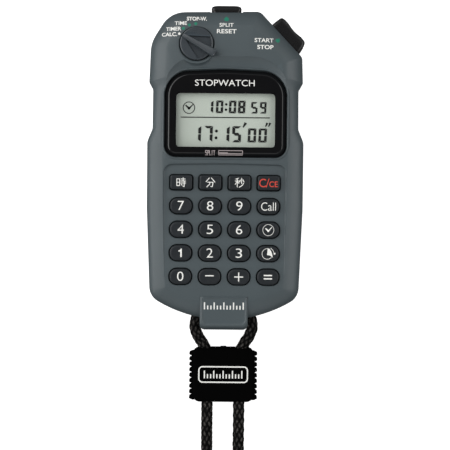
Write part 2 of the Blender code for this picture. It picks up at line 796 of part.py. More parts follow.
def make_cord():
    route = smooth_route(cord_points(), 3.4)
    curve = bpy.data.curves.new("lanyard_cord", "CURVE")
    curve.dimensions = "3D"
    curve.bevel_depth = CORD_RADIUS * MM
    curve.bevel_resolution = 3
    curve.use_fill_caps = True
    spline = curve.splines.new("POLY")
    spline.points.add(len(route) - 1)
    for point, place in zip(spline.points, route):
        point.co = (*(place * MM), 1.0)
    cord = bpy.data.objects.new("lanyard_cord", curve)
    bpy.context.scene.collection.objects.link(cord)
    curve.materials.append(plain_material("lanyard_cord", CORD_BLACK, 0.85))


def coil_section():
    """The outline of four cords lying two by two, as radius and height."""
    points = []
    corners = ((1, 1), (0, 1), (0, 0), (1, 0))
    starts = (-45.0, 45.0, 135.0, 225.0)
    for (ring, level), start in zip(corners, starts):
        for step in range(4):
            angle = math.radians(start + 20.0 + step * 46.0)
            radius = COIL_RADII[ring] + CORD_RADIUS * math.cos(angle)
            points.append((radius, COIL_HEIGHTS[level] + CORD_RADIUS * math.sin(angle)))
    return points


def arc_rings(section, angles):
    rings = []
    for angle in angles:
        turn = math.radians(angle)
        rings.append([(r * math.cos(turn), COIL_CENTRE_Y + r * math.sin(turn), z) for r, z in section])
    return rings


def make_coil():
    rings = arc_rings(coil_section(), [i * 10.0 for i in range(36)])
    coil = ring_solid("lanyard_coil", rings, closed=True)
    finish_object(coil, CORD_BLACK, 0.85, smooth=True)
    outer = ((22.2, 0.0), (35.4, 0.0), (35.4, 12.2), (22.2, 12.2))
    inner = ((23.0, 0.3), (34.6, 0.3), (34.6, 11.75), (23.0, 11.75))
    tie = ring_solid("coil_tie", arc_rings(outer, (262.0, 266.0, 270.0, 274.0, 278.0)))
    cut(tie, ring_solid("tie_hole", arc_rings(inner, (254.0, 262.0, 266.0, 270.0, 274.0, 278.0, 286.0))))
    finish_object(tie, (0.02, 0.02, 0.02), 0.6)


def slider_mouth(side):
    """A cord hole that widens towards its upper mouth, where the cord comes in at a slant."""
    rings = []
    for y, x, wide, high, z in (
        (-120.0, SLIDER_HOLE_X, 3.05, 3.05, SLIDER_HOLE_Z),
        (-95.5, SLIDER_HOLE_X, 3.05, 3.05, SLIDER_HOLE_Z),
        (-91.0, 8.3, 3.6, 3.05, 4.0),
        (-87.0, 8.9, 4.4, 3.25, 4.1),
    ):
        turns = [2 * math.pi * k / 20 for k in range(20)]
        rings.append([(side * (x + wide * math.cos(a)), y, z + high * math.sin(a)) for a in turns])
    return ring_solid("mouth", rings)


def make_slider():
    corners = ((-15.2, -88.1, 3.8), (15.2, -88.1, 3.8), (15.2, -115.1, 3.8), (-15.2, -115.1, 3.8))
    profile = ((1.4, 0.0), (0.35, 0.7), (0.0, 1.8), (0.0, 6.0), (0.35, 7.1), (1.4, 7.8))
    slider = sections("lanyard_slider", corners, profile)
    teeth = [prism("nub", box_outline(-1.6, 1.6, -90.0, -87.7, 0.6), 2.0, 5.8)]
    for i in range(9):
        y = -91.2 - i * 2.7
        teeth.append(prism("tooth", box_outline(14.6, 16.4, y - 0.75, y + 0.75, 0.6), 1.0, 6.8))
        teeth.append(prism("tooth", box_outline(-16.4, -14.6, y - 0.75, y + 0.75, 0.6), 1.0, 6.8))
    join(slider, gather("teeth", teeth))
    cut(slider, slider_mouth(1.0))
    cut(slider, slider_mouth(-1.0))
    finish_object(slider, (0.004, 0.004, 0.004), 0.6, origin=(0.0, -101.6, 3.9), smooth=True)


def main():
    clear_scene()
    make_front_case()
    make_rear_case()
    make_screws()
    make_display()
    make_board()
    make_keys()
    make_dial()
    make_pushers()
    make_batteries()
    make_door()
    make_tab()
    make_cord()
    make_coil()
    make_slider()


main()
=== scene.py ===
"""The looks of a hand-held digital stopwatch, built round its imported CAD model.

Shapes are drawn in millimetres in the CAD model's own frame and are scaled to metres as meshes are
made. +Y points to the top of the device, +X to its right and +Z out of its face.
"""

import math

import bmesh
import bpy
import numpy as np
from mathutils import Matrix, Vector
from mathutils.bvhtree import BVHTree


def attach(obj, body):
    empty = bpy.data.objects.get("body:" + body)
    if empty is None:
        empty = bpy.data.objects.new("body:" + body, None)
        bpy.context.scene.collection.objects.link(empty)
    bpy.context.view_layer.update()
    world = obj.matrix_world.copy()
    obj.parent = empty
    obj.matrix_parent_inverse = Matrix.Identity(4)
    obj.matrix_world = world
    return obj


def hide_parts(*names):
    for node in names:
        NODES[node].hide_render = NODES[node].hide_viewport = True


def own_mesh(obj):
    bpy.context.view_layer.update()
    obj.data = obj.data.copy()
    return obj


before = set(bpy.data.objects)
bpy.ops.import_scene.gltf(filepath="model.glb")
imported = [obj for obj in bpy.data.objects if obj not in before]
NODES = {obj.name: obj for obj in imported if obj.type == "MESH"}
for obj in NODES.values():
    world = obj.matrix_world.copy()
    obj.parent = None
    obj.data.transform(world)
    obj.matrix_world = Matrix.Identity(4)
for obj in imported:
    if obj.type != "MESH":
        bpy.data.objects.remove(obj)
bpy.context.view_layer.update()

MM = 0.001
UP = Vector((0, 0, 1))
RIGHT = Vector((1, 0, 0))

# ---- sizes
# Outlines run clockwise: x, y, corner radius.

def mirrored(corners):
    """Corners on the other side of the middle, in the order that carries on from them."""
    return tuple((-x, y, radius) for x, y, radius in reversed(corners))


HEAD_CORNERS = ((-36.4, 60.2, 16), (-27.2, 75, 13), (16.3, 75.65, 4.2), (36.9, 53.6, 3.5), (37.3, 40.8, 2.5))
SIDE_CORNERS = ((35.2, 37.4, 3), (35.3, 18.5, 3), (37.85, 12.3, 6), (37.75, -20, 60), (36, -62.7, 8.2))
CASE_OUTLINE = HEAD_CORNERS + SIDE_CORNERS + ((0, -83.6, 63.5),) + mirrored(SIDE_CORNERS)
CASE_OUTLINE += ((-37.1, 40.8, 2.5),)
ARCH_OUTLINE = ((-30.9, 51.8, 17), (30.9, 51.8, 17), (29.6, 30, 4), (-29.6, 30, 4))
LENS_OUTLINE = ((-29.2, 45.6, 12), (0, 46.9, 60), (29.2, 45.6, 12), (29.2, 4.8, 5.5), (-29.2, 4.8, 5.5))
RECESS_OUTLINE = ((-29.5, 1, 4), (0, 1.6, 200), (29.5, 1, 4), (29, -58.5, 6), (-29, -58.5, 6))

# Sections: inset from the outline, height.
FRONT_EDGE = ((0, 17), (0.25, 18), (0.9, 19), (2, 20.05), (3.6, 21.02), (5.6, 21.85), (7.8, 22.44))
FRONT_CAVITY = ((2.4, 11), (2.4, 15), (5.5, 19.2))
REAR_EDGE = ((2.2, 0), (1.5, 0.12), (1, 0.5), (0.55, 1), (0.3, 1.6), (0.08, 2.3), (0, 3))
REAR_CAVITY = ((2.8, 2), (2.4, 3.2), (2.4, 12))
FACE_Z = 22.5
PRINT_THICKNESS = 0.045
MOUTH_LIP = 0.25

CAMERA_PLACE = (0.00022, -0.02784, 0.6225)
CAMERA_TURN = math.radians(0.556)

KEY_X = (-21, -7, 7, 21)
KEY_Y = (-7.5, -18.8, -30.1, -41.4, -52.7)
KEY_SIZES = ((10.6, 7, 1.2), (10.5, 7.5, 3.5))
KEY_NAMES = (
    ("key_hours", "key_minutes", "key_seconds", "key_clear"),
    ("key_7", "key_8", "key_9", "key_recall"),
    ("key_4", "key_5", "key_6", "key_clock"),
    ("key_1", "key_2", "key_3", "key_alarm"),
    ("key_0", "key_minus", "key_plus", "key_equals"),
)

DIAL = Vector((-14.2, 58.9, 0))
POINTER_ANGLE = math.radians(150)
NOTCH_FLOOR_Y = 74.8
PUSHER_MID_Z = 12.4
SPEAKER_Y = 40
HINGE = Vector((0, -28, 1))
SCREW_SPOTS = ((-31, 46), (31, 46), (-31, -46), (31, -46))

# The right half of the neck cord's route, from behind its post down to the coil.
CORD_RADIUS = 2.7
CORD_ROUTE = (
    (0, -65.8, 7), (4.5, -66.3, 7), (8.8, -68.2, 7), (12, -71.3, 6.9), (13.8, -75.2, 6.5),
    (13.9, -79.2, 5.8), (12.4, -83, 5), (10.2, -86.4, 4.3), (8.6, -89.8, 4), (7.95, -93.5, 3.9),
    (7.85, -98, 3.9), (7.85, -112, 3.9), (7.85, -127, 3.9), (7.85, -142, 3.9), (8.9, -147.5, 3.9),
    (11.6, -152.2, 3.9), (14.6, -156.4, 3.8), (17.3, -161, 3.6),
)
# How much higher the right strand's last points lie, by their number in the route.
CORD_RISE = {14: 0.3, 15: 1.4, 16: 2.9, 17: 4.2}
COIL_CENTRE_Y = -194
COIL_RADII = (26.1, 31.5)
COIL_HEIGHTS = (3.35, 8.7)
SLIDER_MID_Y = -101.4
SLIDER_TEETH = 9

# ---- camera


def linked(name, data):
    obj = bpy.data.objects.new(name, data)
    bpy.context.scene.collection.objects.link(obj)
    return obj


def make_camera():
    data = bpy.data.cameras.new("camera")
    data.lens = 100
    data.sensor_width = 36
    data.clip_start = 0.01
    data.clip_end = 20
    camera = linked("camera", data)
    camera.location = CAMERA_PLACE
    camera.rotation_euler = (0, 0, CAMERA_TURN)
    bpy.context.scene.camera = camera


# ---- outlines


def unit(dx, dy):
    length = math.hypot(dx, dy)
    return dx / length, dy / length


def offset_line(start, end, inset):
    """A point and a direction of the edge moved to the right of its travel, which is inwards."""
    dx, dy = unit(end[0] - start[0], end[1] - start[1])
    return (start[0] + dy * inset, start[1] - dx * inset), (dx, dy)


def crossing(first, second):
    (px, py), (dx, dy) = first
    (qx, qy), (ex, ey) = second
    along = ((qx - px) * ey - (qy - py) * ex) / (dx * ey - dy * ex)
    return px + dx * along, py + dy * along


def corner_arc(before, after, radius, inset):
    """The rounded corner between two offset lines. Its number of points does not depend on the inset."""
    x, y = crossing(before, after)
    (dx, dy), (ex, ey) = before[1], after[1]
    turn = math.acos(max(-1, min(1, dx * ex + dy * ey)))
    convex = dx * ey - dy * ex < 0
    side = -1 if convex else 1
    fit = max(radius - inset, 0.15) if convex else radius + inset
    steps = max(2, math.ceil(turn / math.radians(9)), math.ceil(radius * turn / 1.6))
    tangent = fit * math.tan(turn / 2)
    start_x, start_y = x - dx * tangent, y - dy * tangent
    mid_x, mid_y = start_x - dy * side * fit, start_y + dx * side * fit
    first = math.atan2(start_y - mid_y, start_x - mid_x)
    points = []
    for step in range(steps + 1):
        angle = first + side * turn * step / steps
        points.append((mid_x + fit * math.cos(angle), mid_y + fit * math.sin(angle)))
    return points


def rounded(corners, inset=0):
    """The outline through rounded corners, moved inwards by the inset."""
    count = len(corners)
    lines = [offset_line(corners[i], corners[(i + 1) % count], inset) for i in range(count)]
    points = []
    for i in range(count):
        points += corner_arc(lines[i - 1], lines[i], corners[i][2], inset)
    return points


def box_corners(x_low, x_high, y_low, y_high, radius):
    return [(x, y, radius) for x, y in ((x_low, y_high), (x_high, y_high), (x_high, y_low), (x_low, y_low))]


def box_outline(x_low, x_high, y_low, y_high, radius, inset=0):
    return rounded(box_corners(x_low, x_high, y_low, y_high, radius), inset)


def directions(count):
    """Cosines and sines of so many equal steps round a circle."""
    return [(math.cos(a), math.sin(a)) for a in (2 * math.pi * k / count for k in range(count))]


def circle(x, y, radius, sides=24):
    return [(x + radius * c, y - radius * s) for c, s in directions(sides)]


def bar(x_low, x_high, y_low, y_high):
    return [(x_low, y_low), (x_high, y_low), (x_high, y_high), (x_low, y_high)]


def at_height(outline, z):
    return [(x, y, z) for x, y in outline]


def blended(p0, p1, p2, p3, t):
    """The point at t on the smooth curve between p1 and p2."""
    slope = p2 - p0
    bend = p0 * 2 - p1 * 5 + p2 * 4 - p3
    twist = p1 * 3 - p0 - p2 * 3 + p3
    return (p1 * 2 + slope * t + bend * t**2 + twist * t**3) / 2


def smooth(points, steps=3):
    """A smooth curve through points of any dimension, with so many steps between each two."""
    points = [Vector(p) for p in points]
    result = []
    for i in range(len(points) - 1):
        ends = points[max(i - 1, 0)], points[i], points[i + 1], points[min(i + 2, len(points) - 1)]
        result += [blended(*ends, k / steps) for k in range(steps)]
    return [tuple(p) for p in result + points[-1:]]


# ---- solids


def new_object(name, mesh):
    bm = bmesh.new()
    bm.from_mesh(mesh)
    bmesh.ops.recalc_face_normals(bm, faces=bm.faces)
    bm.to_mesh(mesh)
    bm.free()
    return linked(name, mesh)


def ring_solid(name, rings, closed=False):
    """A solid through a stack of rings of equal length, capped at its ends unless it closes on itself."""
    size, count = len(rings[0]), len(rings)
    points = [(p[0] * MM, p[1] * MM, p[2] * MM) for ring in rings for p in ring]
    faces = []
    for k in range(count if closed else count - 1):
        low, high = k * size, (k + 1) % count * size
        for i in range(size):
            j = (i + 1) % size
            faces.append((low + i, low + j, high + j, high + i))
    if not closed:
        faces.append(tuple(reversed(range(size))))
        faces.append(tuple(range((count - 1) * size, count * size)))
    mesh = bpy.data.meshes.new(name)
    mesh.from_pydata(points, [], faces)
    return new_object(name, mesh)


def prism(name, outline, z_low, z_high):
    return ring_solid(name, [at_height(outline, z_low), at_height(outline, z_high)])


def box(name, x_low, x_high, y_low, y_high, z_low, z_high):
    return prism(name, bar(x_low, x_high, y_low, y_high), z_low, z_high)


def band(name, outer, inner, z_low=0, z_high=PRINT_THICKNESS):
    """A flat frame between two outlines."""
    edges = (outer, z_low), (outer, z_high), (inner, z_high), (inner, z_low)
    return ring_solid(name, [at_height(*edge) for edge in edges], closed=True)


def sections(name, corners, profile):
    """A solid whose outline at each height is the same drawing with another inset."""
    return ring_solid(name, [at_height(rounded(corners, inset), z) for inset, z in profile])


def turned(name, profile, sides, centre, axis=UP):
    """A solid of revolution from radius and distance pairs along an axis."""
    along = Vector(axis).normalized()
    across = along.orthogonal().normalized()
    other = along.cross(across)
    rings = []
    for radius, distance in profile:
        middle = Vector(centre) + along * distance
        rings.append([middle + (across * c + other * s) * radius for c, s in directions(sides)])
    return ring_solid(name, rings)


def baked(obj):
    """An object's mesh with its modifiers, or a curve's as a mesh."""
    graph = bpy.context.evaluated_depsgraph_get()
    return bpy.data.meshes.new_from_object(obj.evaluated_get(graph))


def combine(target, tool, operation):
    modifier = target.modifiers.new(name=operation.lower(), type="BOOLEAN")
    modifier.operation = operation
    modifier.solver = "MANIFOLD"
    modifier.object = tool
    mesh = baked(target)
    target.modifiers.clear()
    target.data = mesh
    mesh.name = target.name
    bpy.data.objects.remove(tool)
    if not target.data.polygons:
        raise RuntimeError(target.name + " lost its faces in a " + operation.lower())


def cut(target, tool):
    combine(target, tool, "DIFFERENCE")


def cut_at_screws(target, profile, sides):
    for x, y in SCREW_SPOTS:
        cut(target, turned("screw", profile, sides, (x, y, 0)))


def join(target, tool):
    combine(target, tool, "UNION")


def gather(name, pieces):
    """Several separate solids in one mesh."""
    bm = bmesh.new()
    for piece in pieces:
        bm.from_mesh(piece.data)
        bpy.data.objects.remove(piece)
    mesh = bpy.data.meshes.new(name)
    bm.to_mesh(mesh)
    bm.free()
    return new_object(name, mesh)


def shade(obj, angle=38):
    """Smooth shading with crisp edges above the angle, led by the large faces."""
    obj.data.shade_smooth()
    obj.data.set_sharp_from_angle(angle=math.radians(angle))
    modifier = obj.modifiers.new(name="weighted_normals", type="WEIGHTED_NORMAL")
    modifier.keep_sharp = True
    modifier.weight = 60
    return obj


def place(obj, material, body="case", replaced=(), slot=None):
    """Gives a piece its material, its body and the CAD nodes that it stands for."""
    obj.data.materials.clear()
    obj.data.materials.append(material)
    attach(obj, body)
    if replaced:
        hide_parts(*replaced)
    return obj


# ---- materials


class Nodes:
    """The node tree of a new material or world, with short ways to add to it."""

    sockets = {
        "colour": "Base Color",
        "specular": "Specular IOR Level",
        "ior": "IOR",
        "glow": "Emission Color",
        "glow_strength": "Emission Strength",
    }

    def __init__(self, name, library="materials", space="Object"):
        self.owner = getattr(bpy.data, library).new(name)
        self.owner.use_nodes = True
        self.tree = self.owner.node_tree
        self.place = self.add("TexCoord").outputs[space]

    def add(self, kind, inputs=(), **settings):
        """A new node with its settings and with its inputs, given by name or number."""
        node = self.tree.nodes.new("ShaderNode" + kind)
        for key, value in settings.items():
            setattr(node, key, value)
        for key, value in dict(inputs).items():
            self.feed(node.inputs[key], value)
        return node

    def feed(self, socket, value):
        if isinstance(value, bpy.types.NodeSocket):
            self.tree.links.new(value, socket)
        elif socket.type == "RGBA":
            socket.default_value = (*value[:3], 1)
        else:
            socket.default_value = value

    def noise(self, scale, detail=3, roughness=0.55, place=None):
        """Noise whose scale is in features per millimetre."""
        inputs = {"Scale": scale / MM, "Detail": detail, "Roughness": roughness}
        return self.add("TexNoise", {"Vector": place or self.place, **inputs}).outputs["Fac"]

    def split(self):
        """The place's X, Y and Z."""
        return tuple(self.add("SeparateXYZ", {0: self.place}).outputs)

    def math(self, operation, a, b=0):
        return self.add("Math", {0: a, 1: b}, operation=operation).outputs[0]

    def span(self, value, low, high, to_low=0, to_high=1):
        ends = {"From Min": low, "From Max": high, "To Min": to_low, "To Max": to_high}
        return self.add("MapRange", {"Value": value, **ends}).outputs["Result"]

    def spread(self, noise, to_low=0, to_high=1):
        """Noise over a range. Most of it lies between 0.3 and 0.7."""
        return self.span(noise, 0.3, 0.7, to_low, to_high)

    def mix(self, share, first, second):
        return self.add("Mix", {"Factor": share, 6: first, 7: second}, data_type="RGBA").outputs[2]

    def wear_and_highlight(self, strength, low=0.53, high=0.62):
        """How much edge wear and painted highlight a place gets: edges up to the strength, the rest none."""
        edge = self.span(self.add("NewGeometry").outputs["Pointiness"], low, high)
        return self.math("MULTIPLY", edge, strength)

    def bump(self, height, distance):
        return self.add("Bump", {"Height": height, "Distance": distance * MM}).outputs["Normal"]

    def set(self, **values):
        """Feeds the material's shader and gives the material."""
        shader = self.tree.nodes["Principled BSDF"]
        for key, value in values.items():
            self.feed(shader.inputs[self.sockets.get(key, key.title())], value)
        return self.owner


def tinted(colour, factor):
    return tuple(min(1, c * factor) for c in colour)


def moulded(name, colour, roughness, grain=0.010, grain_scale=2.6, specular=0.5, wear_and_highlight=0.25):
    """Moulded plastic or rubber: spark-eroded grain, flow marks, polished edges with painted wear and
    highlight.
    """
    m = Nodes(name)
    fine = m.noise(grain_scale, 4, 0.6)
    flow = m.spread(m.noise(0.05, 2, 0.5))
    specks = m.span(m.noise(6.5, 2, 0.5), 0.62, 0.8, 0, 0.35)
    edge = m.wear_and_highlight(wear_and_highlight)
    shade_now = m.mix(flow, tinted(colour, 0.95), tinted(colour, 1.05))
    shade_now = m.mix(specks, shade_now, tinted(colour, 1.3))
    # Edges are painted lighter: partly edge wear, partly a painted highlight.
    shade_now = m.mix(edge, shade_now, tinted(colour, 1.7))
    rough = m.spread(fine, roughness - 0.05, roughness + 0.05)
    rough = m.math("ADD", rough, m.math("MULTIPLY", edge, -0.3))
    return m.set(colour=shade_now, roughness=rough, specular=specular, normal=m.bump(fine, grain))


def printed(name, colour):
    """Screen-printed ink, with a faintly uneven film."""
    m = Nodes(name)
    film = m.noise(1.8, 3)
    ink = m.mix(m.span(film, 0.35, 0.7), tinted(colour, 0.93), colour)
    return m.set(colour=ink, roughness=m.spread(film, 0.5, 0.62), normal=m.bump(film, 0.004))


def metal(name, colour, roughness, brushed=(0.2, 6, 6)):
    """Plated metal with fine drawing marks, dull patches and brighter edges."""
    m = Nodes(name)
    mapping = m.add("Mapping", {"Vector": m.place, "Scale": brushed})
    lines = m.noise(1, 4, 0.6, mapping.outputs["Vector"])
    patches = m.noise(0.25, 3)
    plating = m.mix(m.span(patches, 0.35, 0.7), tinted(colour, 0.82), colour)
    plating = m.mix(m.wear_and_highlight(0.4), plating, tinted(colour, 1.25))
    rough = m.spread(lines, roughness - 0.07, roughness + 0.07)
    rough = m.math("ADD", rough, m.spread(patches, -0.05, 0.05))
    return m.set(colour=plating, roughness=rough, metallic=1, normal=m.bump(lines, 0.004))


def circuit_board():
    """Green solder mask over copper tracks, with tinned pads."""
    m = Nodes("board")
    colours = {"Color1": (0.018, 0.10, 0.04), "Color2": (0.022, 0.12, 0.05), "Mortar": (0.045, 0.21, 0.08)}
    sizes = {"Scale": 0.42 / MM, "Mortar Size": 0.05}
    brick = m.add("TexBrick", {"Vector": m.place, **sizes, **colours}).outputs
    pads = m.add("TexVoronoi", {"Vector": m.place, "Scale": 0.3 / MM}, feature="F1")
    pad = m.span(pads.outputs["Distance"], 0.16, 0.13)
    mask = m.mix(pad, brick["Color"], (0.6, 0.58, 0.52))
    rough = m.math("ADD", m.spread(m.noise(3, 3), 0.3, 0.42), m.math("MULTIPLY", pad, -0.08))
    return m.set(colour=mask, roughness=rough, metallic=pad, normal=m.bump(brick["Fac"], 0.02))


def braid_fibre():
    """Black polyester yarn: painted glints on the braid's crowns and painted shade, near black, between them.
    """
    m = Nodes("cord_braid")
    crown = m.span(m.add("Attribute", attribute_name="painted_glint").outputs["Fac"], 0.12, 0.8)
    fibres = m.noise(2.6, 3, 0.65)
    # Painted shade: near black between the crowns. Painted glints: light grey flecks on them, broken by the
    # fibres.
    yarn = m.mix(crown, (0.0004, 0.0004, 0.0004), (0.0042, 0.004, 0.0038))
    yarn = m.mix(m.math("MULTIPLY", crown, m.span(fibres, 0.38, 0.6)), yarn, (0.115, 0.107, 0.099))
    rough = m.spread(fibres, 0.5, 0.75)
    return m.set(colour=yarn, roughness=rough, specular=0.06, normal=m.bump(fibres, 0.08))


def lens_acrylic():
    """Clear acrylic whose underside is printed black round the window."""
    m = Nodes("lens_acrylic")
    half_x, mid_y, half_y, corner = 23.85 * MM, 22.6 * MM, 13.05 * MM, 1.5 * MM
    x, y, _ = m.split()
    across = m.math("SUBTRACT", m.math("ABSOLUTE", x), half_x - corner)
    down = m.math("SUBTRACT", m.math("ABSOLUTE", m.math("SUBTRACT", y, mid_y)), half_y - corner)
    squares = [m.math("POWER", m.math("MAXIMUM", away, 0), 2) for away in (across, down)]
    inside = m.math("LESS_THAN", m.math("SQRT", m.math("ADD", *squares)), corner)
    smear = m.noise(0.12, 3)
    m.set(colour=m.mix(smear, (0.004, 0.004, 0.0045), (0.006, 0.006, 0.0066)), specular=0.5, ior=1.49)
    return m.set(alpha=m.span(inside, 0, 1, 1, 0.07), roughness=m.span(smear, 0.35, 0.75, 0.03, 0.09))


def crystal_panel():
    """The reflective grey-green back of a liquid crystal display, with a fine reflector grain."""
    m = Nodes("lcd_glass")
    sparkle = m.noise(9, 2, 0.7)
    back = m.mix(m.spread(m.noise(0.035, 2)), (0.585, 0.647, 0.575), (0.632, 0.695, 0.618))
    back = m.mix(m.span(sparkle, 0.35, 0.7, 0, 0.3), back, (0.495, 0.552, 0.487))
    return m.set(colour=back, roughness=m.spread(sparkle, 0.42, 0.55), specular=0.3)


def cell_jacket():
    """A shrink-wrapped cell jacket: dark, with a bright band by its positive end."""
    m = Nodes("cell_jacket")
    scuffs = m.noise(0.7, 4)
    end = m.span(m.math("ABSOLUTE", m.split()[0]), 0.0145, 0.0146)
    foil = m.mix(end, (0.03, 0.035, 0.042), (0.55, 0.42, 0.18))
    foil = m.mix(m.span(scuffs, 0.6, 0.85, 0, 0.4), foil, (0.2, 0.2, 0.2))
    m.set(roughness=m.spread(scuffs, 0.22, 0.36), metallic=m.math("MULTIPLY", end, 0.8))
    return m.set(colour=foil, normal=m.bump(scuffs, 0.006))


CASE = moulded("case_plastic", (0.058, 0.075, 0.082), 0.46, grain=0.012)
KEY = moulded("key_plastic", (0.0165, 0.0195, 0.0225), 0.42, grain=0.006, grain_scale=3.5, specular=0.25)
# The dial gets the full painted highlight on its edges, so that the lever's rims look lit.
DIAL_PLASTIC = moulded("dial_plastic", (0.034, 0.042, 0.049), 0.33, grain=0.006, grain_scale=3.5, wear_and_highlight=1)
BUTTON = moulded("button_rubber", (0.006, 0.006, 0.0065), 0.3, grain=0.006, specular=0.4)
SLIDER = moulded("slider_rubber", (0.0008, 0.0008, 0.0008), 0.75, grain=0.02, grain_scale=1.6, specular=0.02)
WHITE = printed("white_print", (0.86, 0.86, 0.82))
DIM = printed("dim_print", (0.36, 0.31, 0.31))
RED = printed("red_print", (0.62, 0.055, 0.032))
GREEN = printed("green_print", (0.012, 0.20, 0.125))
SEGMENT = printed("lcd_segment", (0.004, 0.005, 0.0045))
LENS = lens_acrylic()
BRAID = braid_fibre()
STEEL = metal("plated_steel", (0.60, 0.58, 0.55), 0.3)


# ---- cord


def coil_point(degrees):
    """The cord's place in the coil, counted on from where the left strand meets it at 150 degrees."""
    inner, outer = COIL_RADII
    low, high = COIL_HEIGHTS
    radius = outer + (inner - outer) * eased(degrees, 455, 505)
    radius += (outer - inner) * eased(degrees, 1115, 1165)
    height = low + (high - low) * eased(degrees, 770, 835)
    angle = math.radians(degrees)
    return Vector((radius * math.cos(angle), COIL_CENTRE_Y + radius * math.sin(angle), height))


def eased(value, low, high):
    t = max(0, min(1, (value - low) / (high - low)))
    return t * t * (3 - 2 * t)


def cord_line(spacing):
    """The cord's centreline: down the left strand, round the coil and up the right strand."""
    left = [Vector((-x, y, z)) for x, y, z in CORD_ROUTE]
    left += [Vector((-20.6, -166.7, 3.5)), Vector((-24, -172.6, 3.4))]
    right = [Vector((x, y, z + CORD_RISE.get(i, 0))) for i, (x, y, z) in enumerate(CORD_ROUTE)]
    right += [Vector((20.6, -166.7, 8.2)), Vector((24, -172.6, 8.55))]
    turns = [coil_point(150 + 10 * i) for i in range(133)]
    dense = np.array(smooth(left + turns + right[::-1], 10))
    steps = np.linalg.norm(np.diff(dense, axis=0), axis=1)
    walked = np.concatenate([[0.0], np.cumsum(steps)])
    count = int(round(walked[-1] / spacing))
    at = np.linspace(0.0, walked[-1], count + 1)
    return np.column_stack([np.interp(at, walked, dense[:, k]) for k in range(3)]), walked[-1]


def turning_sides(line):
    """A side direction at each point that never twists about the line."""
    along = np.gradient(line, axis=0)
    along /= np.linalg.norm(along, axis=1)[:, None]
    sides = [np.cross(along[0], (0.0, 0.0, 1.0))]
    for direction in along[1:]:
        side = sides[-1] - direction * (sides[-1] @ direction)
        sides.append(side / np.linalg.norm(side))
    sides = np.array(sides)
    return sides, np.cross(along, sides)


def braid_height(around, distance):
    """Height of a braided surface from 0 to 1, and how bright a glint is painted on its yarn there.

    Strands wind both ways and pass over and under in turn.
    """
    carriers, pitch = 7, 4.7
    u = around * carriers + distance / pitch
    v = around * carriers - distance / pitch
    over = (np.floor(u) + np.floor(v)) % 2 < 1
    fu = u - np.floor(u) - 0.5
    fv = v - np.floor(v) - 0.5
    across = np.where(over, fu, fv)
    along = np.where(over, fv, fu)
    crown = np.sqrt(np.clip(1.0 - (across / 0.54) ** 2, 0.0, 1.0))
    arch = np.cos(np.pi * along * 0.86)
    chance = np.sin((np.floor(u) % 7) * 12.9898 + np.floor(distance / 1.7) * 78.233) * 43758.5453
    glint = np.clip(1.0 - (across / 0.34) ** 2, 0.0, 1.0) * arch
    return crown * (0.3 + 0.7 * arch), glint * (0.3 + 0.7 * (chance - np.floor(chance)))


def make_cord():
    line, length = cord_line(spacing=0.56)
    sides, others = turning_sides(line)
    distance = np.linspace(0.0, length, len(line))[:, None]
    around = (np.arange(42) / 42)[None, :]
    height, glint = braid_height(around + 0 * distance, distance + 0 * around)
    # The coil, which starts 95 mm from both ends, is pressed a little.
    pressed = np.clip((np.minimum(distance, length - distance) - 95.0) / 20.0, 0.0, 1.0)
    radius = CORD_RADIUS - 0.34 - 0.16 * pressed + 0.56 * height
    angle = 2 * np.pi * around[..., None]
    outwards = np.cos(angle) * sides[:, None, :] + np.sin(angle) * others[:, None, :]
    points = line[:, None, :] + radius[..., None] * outwards
    cord = ring_solid("neck_cord", points.tolist())
    # Each point carries how bright a glint is painted there in the braid's colour.
    painted_glint_layer = cord.data.attributes.new("painted_glint", "FLOAT", "POINT")
    painted_glint_layer.data.foreach_set("value", glint.ravel().tolist())
    shade(cord, 80)
    place(cord, BRAID, "case", ("lanyard_cord", "lanyard_coil"), "cord_braid")


def make_tie():
    """The strap that holds the coil, a rounded band round all four turns."""
    steps = [(261.9, -0.25), (262.2, -0.08), (263, 0), (266, 0), (270, 0), (274, 0)]
    steps += [(277, 0), (277.8, -0.08), (278.1, -0.25)]
    rings = []
    for degrees, grow in steps:
        outline = box_outline(22.2 - grow, 35.4 + grow, -grow, 12.2 + grow, 2.6)
        rings.append(arc_ring(outline, degrees))
    rings += [arc_ring(box_outline(23, 34.6, 0.3, 11.75, 2), degrees) for degrees, _ in steps[::-1]]
    return ring_solid("coil_strap", rings, closed=True)


def arc_ring(outline, degrees):
    """An outline of radius and height, stood up at an angle round the coil's centre."""
    turn = math.radians(degrees)
    return [(r * math.cos(turn), COIL_CENTRE_Y + r * math.sin(turn), z) for r, z in outline]


make_camera()
make_cord()
place(shade(make_tie()), SLIDER, "case", ("coil_tie",), "slider_rubber")


# ---- the pushers


def chamfer_frame():
    """The corner pusher's foot, the direction along the chamfer and the direction out of it."""
    upper, lower = CASE_OUTLINE[2], CASE_OUTLINE[3]
    tx, ty = unit(lower[0] - upper[0], lower[1] - upper[1])
    return Vector((upper[0] + tx * 18, upper[1] + ty * 18, 0)), Vector((tx, ty, 0)), Vector((-ty, tx, 0))


def upper_frame():
    return Vector((0, NOTCH_FLOOR_Y, 0)), RIGHT, Vector((0, 1, 0))


def placed_rings(place_frame, sizes):
    """Rounded rectangles across a pusher, each from its span along it, its span in Z, radius and distance."""
    foot, along, out = place_frame
    rings = []
    for low, high, z_low, z_high, radius, distance in sizes:
        outline = box_outline(low, high, z_low, z_high, radius)
        rings.append([foot + along * a + out * distance + UP * b for a, b in outline])
    return rings


